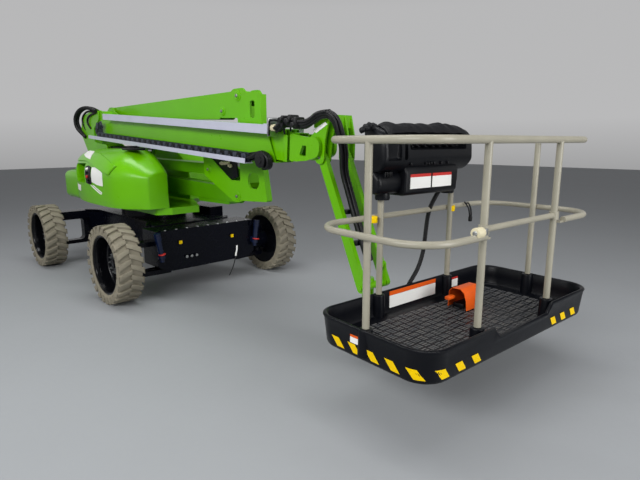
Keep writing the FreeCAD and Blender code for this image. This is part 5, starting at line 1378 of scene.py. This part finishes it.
# %% Chassis hardware
PANEL_FACE = 1320.5
LOCKOUT_TOP, LOCKOUT_LOW = (1370, 640, 700), (1370, 600, 430)
bolt_bm = bmesh.new()
for y in range(-520, 521, 130):
    add_rod(bolt_bm, place(PANEL_FACE - 30, y, 704), place(PANEL_FACE - 30, y, 714), 0.013, sides=6, bevel=0.002)
for y in (-300, -240, -180):
    add_rod(bolt_bm, place(PANEL_FACE - 2, y, 398), place(PANEL_FACE + 14, y, 398), 0.016, sides=6, bevel=0.002)
make_piece("chassis_bolts", bolt_bm, [zinc_steel], "chassis", smooth=30)

square_bm = bmesh.new()
for y, z in ((-362, 566), (300, 549)):
    add_box(square_bm, (PANEL_FACE - 1, y - 18, z - 18), (PANEL_FACE + 1.5, y + 18, z + 18))
make_piece("chassis_blank_squares", square_bm, [yellow_paint], "chassis", merge=False)

band_bm = bmesh.new()
for side in (-1, 1):
    top, low = (place(x, side * y, z) for x, y, z in (LOCKOUT_TOP, LOCKOUT_LOW))
    add_rod(band_bm, top.lerp(low, 0.80), top.lerp(low, 0.84), 0.0385, sides=32, bevel=0.002)
make_piece("lockout_red_bands", band_bm, [red_mark], "chassis", smooth=35)

strap_bm = bmesh.new()
add_hose(strap_bm, ((1310, 368, 420), (1322, 362, 380), (1320, 345, 330), (1322, 340, 300)), 0.010)
add_hose(strap_bm, ((1322, 341, 305), (1318, 320, 220), (1322, 280, 140), (1320, 240, 80)), 0.006, index=1)
make_piece("earth_strap", strap_bm, [white_label, hose_rubber], "chassis", smooth=50, merge=False)
print("chassis hardware made")

# %% [markdown]
# The cage carries small fittings: two yellow clips on the back posts, a cream sleeve where the gate
# bar swings, a looped strap on the mid rail, and a corrugated conduit from the control housing down
# the back of the cage.

# %% Clips, strap and conduit
STRAP = ((4046, 640, 1156), (4074, 655, 1120), (4078, 668, 1060), (4070, 690, 1010), (4064, 716, 1030),
         (4066, 706, 1090), (4052, 686, 1152), (4036, 668, 1140), (4046, 640, 1156))
CONDUIT = ((4100, 236, 1290), (4030, 236, 1180), (4000, 235, 1084), (3998, 220, 937), (3996, 203, 791),
           (3992, 150, 675), (3988, 80, 600), (3986, 40, 550))
clip_bm = bmesh.new()
for y in (-406, 454):
    add_rod(clip_bm, in_cage(4051, y, 1103), in_cage(4051, y, 1147), 0.029, sides=24, bevel=0.003)
make_piece("rail_yellow_clips", clip_bm, [yellow_paint], "cage")

looped_bm = bmesh.new()
add_hose(looped_bm, STRAP, 0.006, in_cage)
add_box(looped_bm, (4050, 690, 996), (4074, 722, 1040), in_cage, bevel=0.008)
make_piece("looped_strap", looped_bm, [hose_rubber], "cage")

conduit_bm = bmesh.new()
add_corrugated(conduit_bm, CONDUIT, 0.017, in_cage)
make_piece("cage_conduit", conduit_bm, [hose_rubber], "cage")
print("clips, strap and conduit made")

# %% [markdown]
# The label plates on the tray are blank: white fields beside an orange or a red strip. Each plate is
# a thin box with softened corners.

# %% Blank plates on the tray
BACK_WALL_X, SIDE_WALL_Y = 4043.0, RIGHT_Y - 9.5
BACK_PLATES = ((-218, 466, 306, 556, 0), (-218, 558, 306, 588, 1), (520, 478, 600, 540, 0), (520, 542, 600, 556, 2))
label_bm = bmesh.new()
for y_low, z_low, y_high, z_high, index in BACK_PLATES:
    add_box(label_bm, (BACK_WALL_X, y_low, z_low), (BACK_WALL_X + 5, y_high, z_high), in_cage, 0.0008, 1, index)
make_piece("tray_blank_plates", label_bm, [white_label, orange_paint, red_mark], "cage")

side_label_bm = bmesh.new()
for index, (z_low, z_high) in enumerate(((492, 526), (527, 542))):
    add_box(side_label_bm, (4346, SIDE_WALL_Y - 2, z_low), (4410, SIDE_WALL_Y + 2, z_high), in_cage, 0.0008, 1, index)
make_piece("tray_side_blank_plate", side_label_bm, [white_label, orange_paint], "cage")
print("blank plates:", len(BACK_PLATES) + 2)

# %% [markdown]
# The foot switch stands under an orange hood. The hood is a bent sheet with one closed side, drawn
# as an outline, joined across and thickened.

# %% Foot switch and gate sleeve
HOOD_SHEET, HOOD_RIGHT, HOOD_LEFT = 0.004, 206.0, 418.0


def hood_row(bm, y, top_x):
    """The outline of the hood at one of its sides."""
    rows = ((4398, 440), (4392, 510), (4372, 566), (top_x, 590), (4270, 588), (4244, 560), (4238, 440))
    return [bm.verts.new(in_cage(x, y, z)) for x, z in rows]


hood_bm = bmesh.new()
open_side, closed_side = hood_row(hood_bm, HOOD_RIGHT, 4340), hood_row(hood_bm, HOOD_LEFT, 4330)
for corners in zip(open_side, open_side[1:], closed_side[1:], closed_side):
    hood_bm.faces.new(corners)
hood_bm.faces.new(closed_side)
bmesh.ops.recalc_face_normals(hood_bm, faces=hood_bm.faces)
bmesh.ops.solidify(hood_bm, geom=hood_bm.faces[:], thickness=HOOD_SHEET)
creases = [edge for edge in hood_bm.edges if len(edge.link_faces) == 2 and edge.calc_face_angle(0) > 0.3]
round_edges(hood_bm, creases, 0.0015, 1)
add_box(hood_bm, (4262, 130, 512), (4300, 212, 536), in_cage, bevel=0.006)
add_box(hood_bm, (4262, 236, 438), (4352, 392, 470), in_cage, bevel=0.006, index=1)
make_piece("foot_switch_hood", hood_bm, [orange_paint, black_mould], "cage", smooth=30)

sleeve_bm = bmesh.new()
add_rod(sleeve_bm, in_cage(4876, -500, 1158), in_cage(4876, -440, 1158), 0.030, sides=32, bevel=0.004)
add_rod(sleeve_bm, in_cage(4876, -506, 1158), in_cage(4876, -396, 1158), 0.014, sides=24, bevel=0.002, index=1)
add_box(sleeve_bm, (4846, -438, 1128), (4892, -398, 1176), in_cage, bevel=0.004, index=1)
make_piece("gate_hinge_sleeve", sleeve_bm, [cream_plastic, zinc_steel], "cage")
print("cage fittings made")
